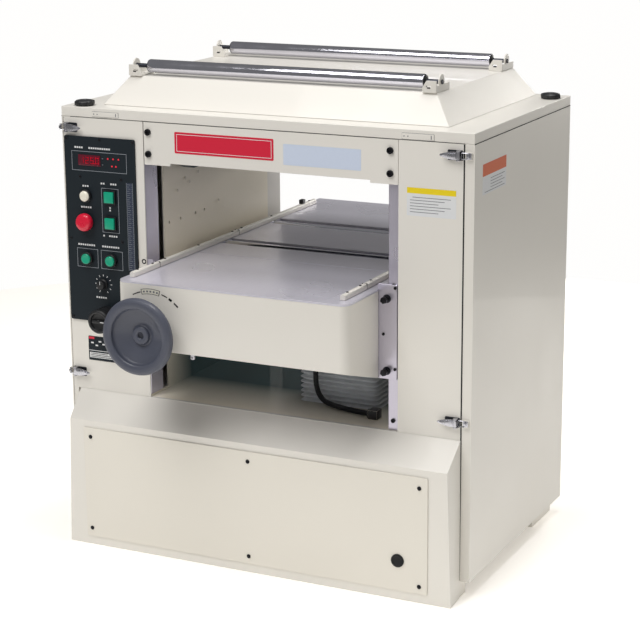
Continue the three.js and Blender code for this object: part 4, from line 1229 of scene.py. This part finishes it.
def notched(u, v, count, steps):
    """A toothed outline about a centre. Each step is a part of one tooth's pitch and a radius."""
    polar = [(2 * math.pi * (k + step) / count, radius) for k in range(count) for step, radius in steps]
    return [(u + radius * math.cos(a), v + radius * math.sin(a)) for a, radius in polar]


def sprocket_teeth(shape, y, z, radius, teeth):
    steps = ((0.0, -3.4), (0.22, -3.0), (0.4, 0.0), (0.6, 0.0), (0.78, -3.0))
    outline = notched(y, z, teeth, [(step, radius + reach) for step, reach in steps])
    shape.prism("x", outline, -393.6, -386.4, DARK_STEEL, 0)


def feed_rollers():
    """A fluted steel infeed roller and a rubber-covered outfeed roller, each with its sprocket."""
    for node, slot in (("infeed_roller", STEEL_SLOT), ("outfeed_roller", RUBBER_SLOT)):
        x0, x1 = span(node)[:2]
        y, z = centre_of(node, "x")
        made = Shape()
        if node == "infeed_roller":
            flutes = notched(y, z, 36, ((0.0, 32.6), (0.25, 34.8), (0.62, 34.8), (0.85, 32.6)))
            made.prism("x", flutes, -250, 254, STEEL_ACROSS, 0)
        else:
            tyre = [(0, -250), (33.5, -250), (34.8, -248), (34.8, 252), (33.5, 254), (0, 254)]
            made.turned("x", y, z, tyre, ROLLER_RUBBER, 96)
        made.turned("x", y, z, [(0, x0), (11, x0), (11.6, x0 + 1), (12, -250), (0, -250)], STEEL_ACROSS, 40)
        made.turned("x", y, z, [(0, 254), (12, 254), (11.6, x1 - 1), (11, x1), (0, x1)], STEEL_ACROSS, 40)
        sprocket_teeth(made, y, z, 39.5, 22)
        made.rod("x", y, z, 22, -398, -380, DARK_STEEL, 48, 0.6)
        made.done(node + "_body", node, slot, [node])


def feed_drive():
    """The small drive sprocket on the feed motor's shaft."""
    node = "feed_sprocket"
    x0, x1 = span(node)[:2]
    y, z = centre_of(node, "x")
    made = Shape()
    sprocket_teeth(made, y, z, 24.4, 13)
    hub = [(0, x0), (14, x0), (14, x0 + 18), (8, x0 + 18), (8, x1), (0, x1)]
    made.turned("x", y, z, hub, DARK_STEEL, 40, 0.5)
    made.done(node + "_toothed", node, DARK_SLOT, [node])


def cooling_fins(shape, y, z, radius, depth, x0, x1, count, skip):
    """Ribs along a motor's barrel, leaving out those at angles between the two in `skip`."""
    for k in range(count):
        a = 2 * math.pi * k / count
        if skip[0] < math.degrees(a) < skip[1]:
            continue
        out, side = Vector((math.cos(a), math.sin(a))), Vector((-math.sin(a), math.cos(a)))
        foot = radius - depth - 2
        corners = [out * r + side * t for r, t in ((foot, -1.3), (radius, -0.9), (radius, 0.9), (foot, 1.3))]
        shape.prism("x", [(y + c.x, z + c.y) for c in corners], x0, x1, MOTOR, 0.25)


# each motor's body, axis (y, z), radius, fin depth, number of fins, and the angles that its feet take up
MOTORS = {
    "main_motor": ("frame", 435, 150, 94.0, 9.0, 40, (250, 290)),
    "feed_motor": ("frame", 435, 700, 53.5, 5.0, 28, (0, 0)),
    "lift_motor": ("table", 150, 560, 36.0, 3.5, 24, (0, 0)),
}


def motors():
    """Fan-cooled motors: finned barrels, end bells and a fan cowl with slots."""
    for node, (body, y, z, radius, depth, fins, skip) in MOTORS.items():
        x0, x1 = span(node)[:2]
        length = x1 - x0
        made = Shape()
        core, cowl, bell = radius - depth, x0 + length * 0.22, x1 - length * 0.14
        cover = [(0, x0), (radius * 0.86, x0), (radius * 0.95, x0 + 3), (radius * 0.95, cowl)]
        shield = [(radius * 0.93, bell + 1), (radius * 0.9, bell + length * 0.05)]
        nose = [(radius * 0.42, x1 - length * 0.02), (radius * 0.3, x1), (0, x1)]
        barrel = cover + [(core, cowl + 1), (core, bell)] + shield + nose
        made.turned("x", y, z, barrel, MOTOR, 72, 1.0)
        cooling_fins(made, y, z, radius, depth, cowl + 2, bell - 1, fins, skip)
        for k in range(5):
            inner = radius * (0.2 + 0.13 * k)
            outer = inner + radius * 0.06
            slot = [(inner, x0 - 0.2), (outer, x0 - 0.2), (outer, x0 + 0.5), (inner, x0 + 0.5)]
            made.turned("x", y, z, slot, OXIDE, 48)
        if node == "main_motor":
            feet_and_box(made, y, z)
        made.done(node + "_finned", body, MOTOR_SLOT, [node])


def feet_and_box(shape, y, z):
    """The main motor's feet with their bolts, and the terminal box on top of it."""
    x0, x1 = span("main_motor")[:2]
    z0, z1 = span("main_motor")[4:]
    for at in (x0 + (x1 - x0) * 0.35, x0 + (x1 - x0) * 0.72):
        half = [(78, z0), (78, z0 + 10), (48, z0 + 14), (40, z - 60)]
        foot = [(-78, z0)] + half + [(-side, height) for side, height in half[:0:-1]]
        shape.prism("x", [(y + side, height) for side, height in foot], at - 16, at + 16, MOTOR, 1.2)
        for side in (-66, 66):
            hex_bolt(shape, "z", at, y + side, z0 + 10, 7, 1, OXIDE)
    shape.box(x0 + 88, x0 + 178, y - 42, y + 42, z1 - 28, z1, MOTOR, 3)
    for dx in (96, 170):
        for dy in (-34, 34):
            pan_screw(shape, "z", x0 + dx, y + dy, z1 - 2.4, 3, 1, CHROME)


SCREW_PITCH, THREAD_LOW, THREAD_HIGH, THREAD_SIDES = 5.0, 146, 552, 20
THREAD_STEPS = ((0.0, 16), (0.34, 16), (0.5, 13.2), (0.84, 13.2))


def lead_screw():
    """The lifting screw with its trapezoidal thread drawn as rings, and its bevel gear."""
    x0, x1, y0, y1, z0, z1 = span("lead_screw")
    x, y = (x0 + x1) / 2, (y0 + y1) / 2
    part = bmesh.new()
    rings = []
    for turn in range(int((THREAD_HIGH - THREAD_LOW) / SCREW_PITCH)):
        for step, radius in THREAD_STEPS:
            level = THREAD_LOW + SCREW_PITCH * (turn + step)
            rings.append([part.verts.new(row(u, v, level)) for u, v in polygon(x, y, radius, THREAD_SIDES)])
    bridge(part, rings)
    made = Shape().take(part, STEEL_UP)
    tail = [(0, z0), (12, z0), (13, z0 + 1), (13, THREAD_LOW + 0.5), (0, THREAD_LOW + 0.5)]
    made.turned("z", x, y, tail, STEEL_UP, 40)
    gear = [(0, 550), (14, 550), (14, 557), (43.8, 558), (30, 585)]
    head = [(12, 585), (12, z1 - 1), (11, z1), (0, z1)]
    made.turned("z", x, y, gear + head, DARK_STEEL, 72, 0.6)
    made.done("lead_screw_thread", "lead_screw", STEEL_SLOT, ["lead_screw"])


def inner_wall_details():
    """Rivets on the left wall of the tunnel, and the screws of the ways."""
    made = Shape()
    wall = span("left_column")[1]
    # the rivets take the shaded copy of the cream: painted shade
    dome = [(0, wall - 0.3), (4, wall - 0.3), (3.2, wall + 0.6), (0, wall + 0.9)]
    for y, z in ((150, 838), (208, 850), (250, 867), (188, 862), (300, 880), (350, 780)):
        made.turned("x", y, z, dome, SHADED_CREAM, 20)
    made.done("wall_rivets", "frame", CREAM_SLOT)
    ways = Shape()
    for x in (-309.5, 325):
        for z in (392, 700, 1000):
            socket_bolt(ways, "y", x, z, 8.3, 5, -1, OXIDE)
    ways.done("way_screws", "frame", DARK_SLOT)


def gearbox_bolts():
    """The bolts of the lift gearbox's front cover."""
    made = Shape()
    for x, z in ((40, 530), (135, 530), (230, 530), (40, 585), (230, 585)):
        hex_bolt(made, "y", x, z, 118, 5, -1, OXIDE)
    made.done("gearbox_bolts", "table", DARK_SLOT)


PIECES = [
    header_details, labels, cover_screws, lid_tabs, seams, cover_knobs, return_rollers, bracket_details,
    latches, panel_print, panel_fittings, panel_controls, feed_selector, instruction_plate,
    gib_bolts, rail_details, cover_marks, handwheel, bed_rollers, lift_bellows, table_cable,
    cutterhead, belt_pulleys, feed_rollers, feed_drive, motors, lead_screw, inner_wall_details,
    gearbox_bolts,
]

make_camera()
make_lights()
make_surroundings()
make_floor()
dress_cad_nodes()
for make in PIECES:
    make()
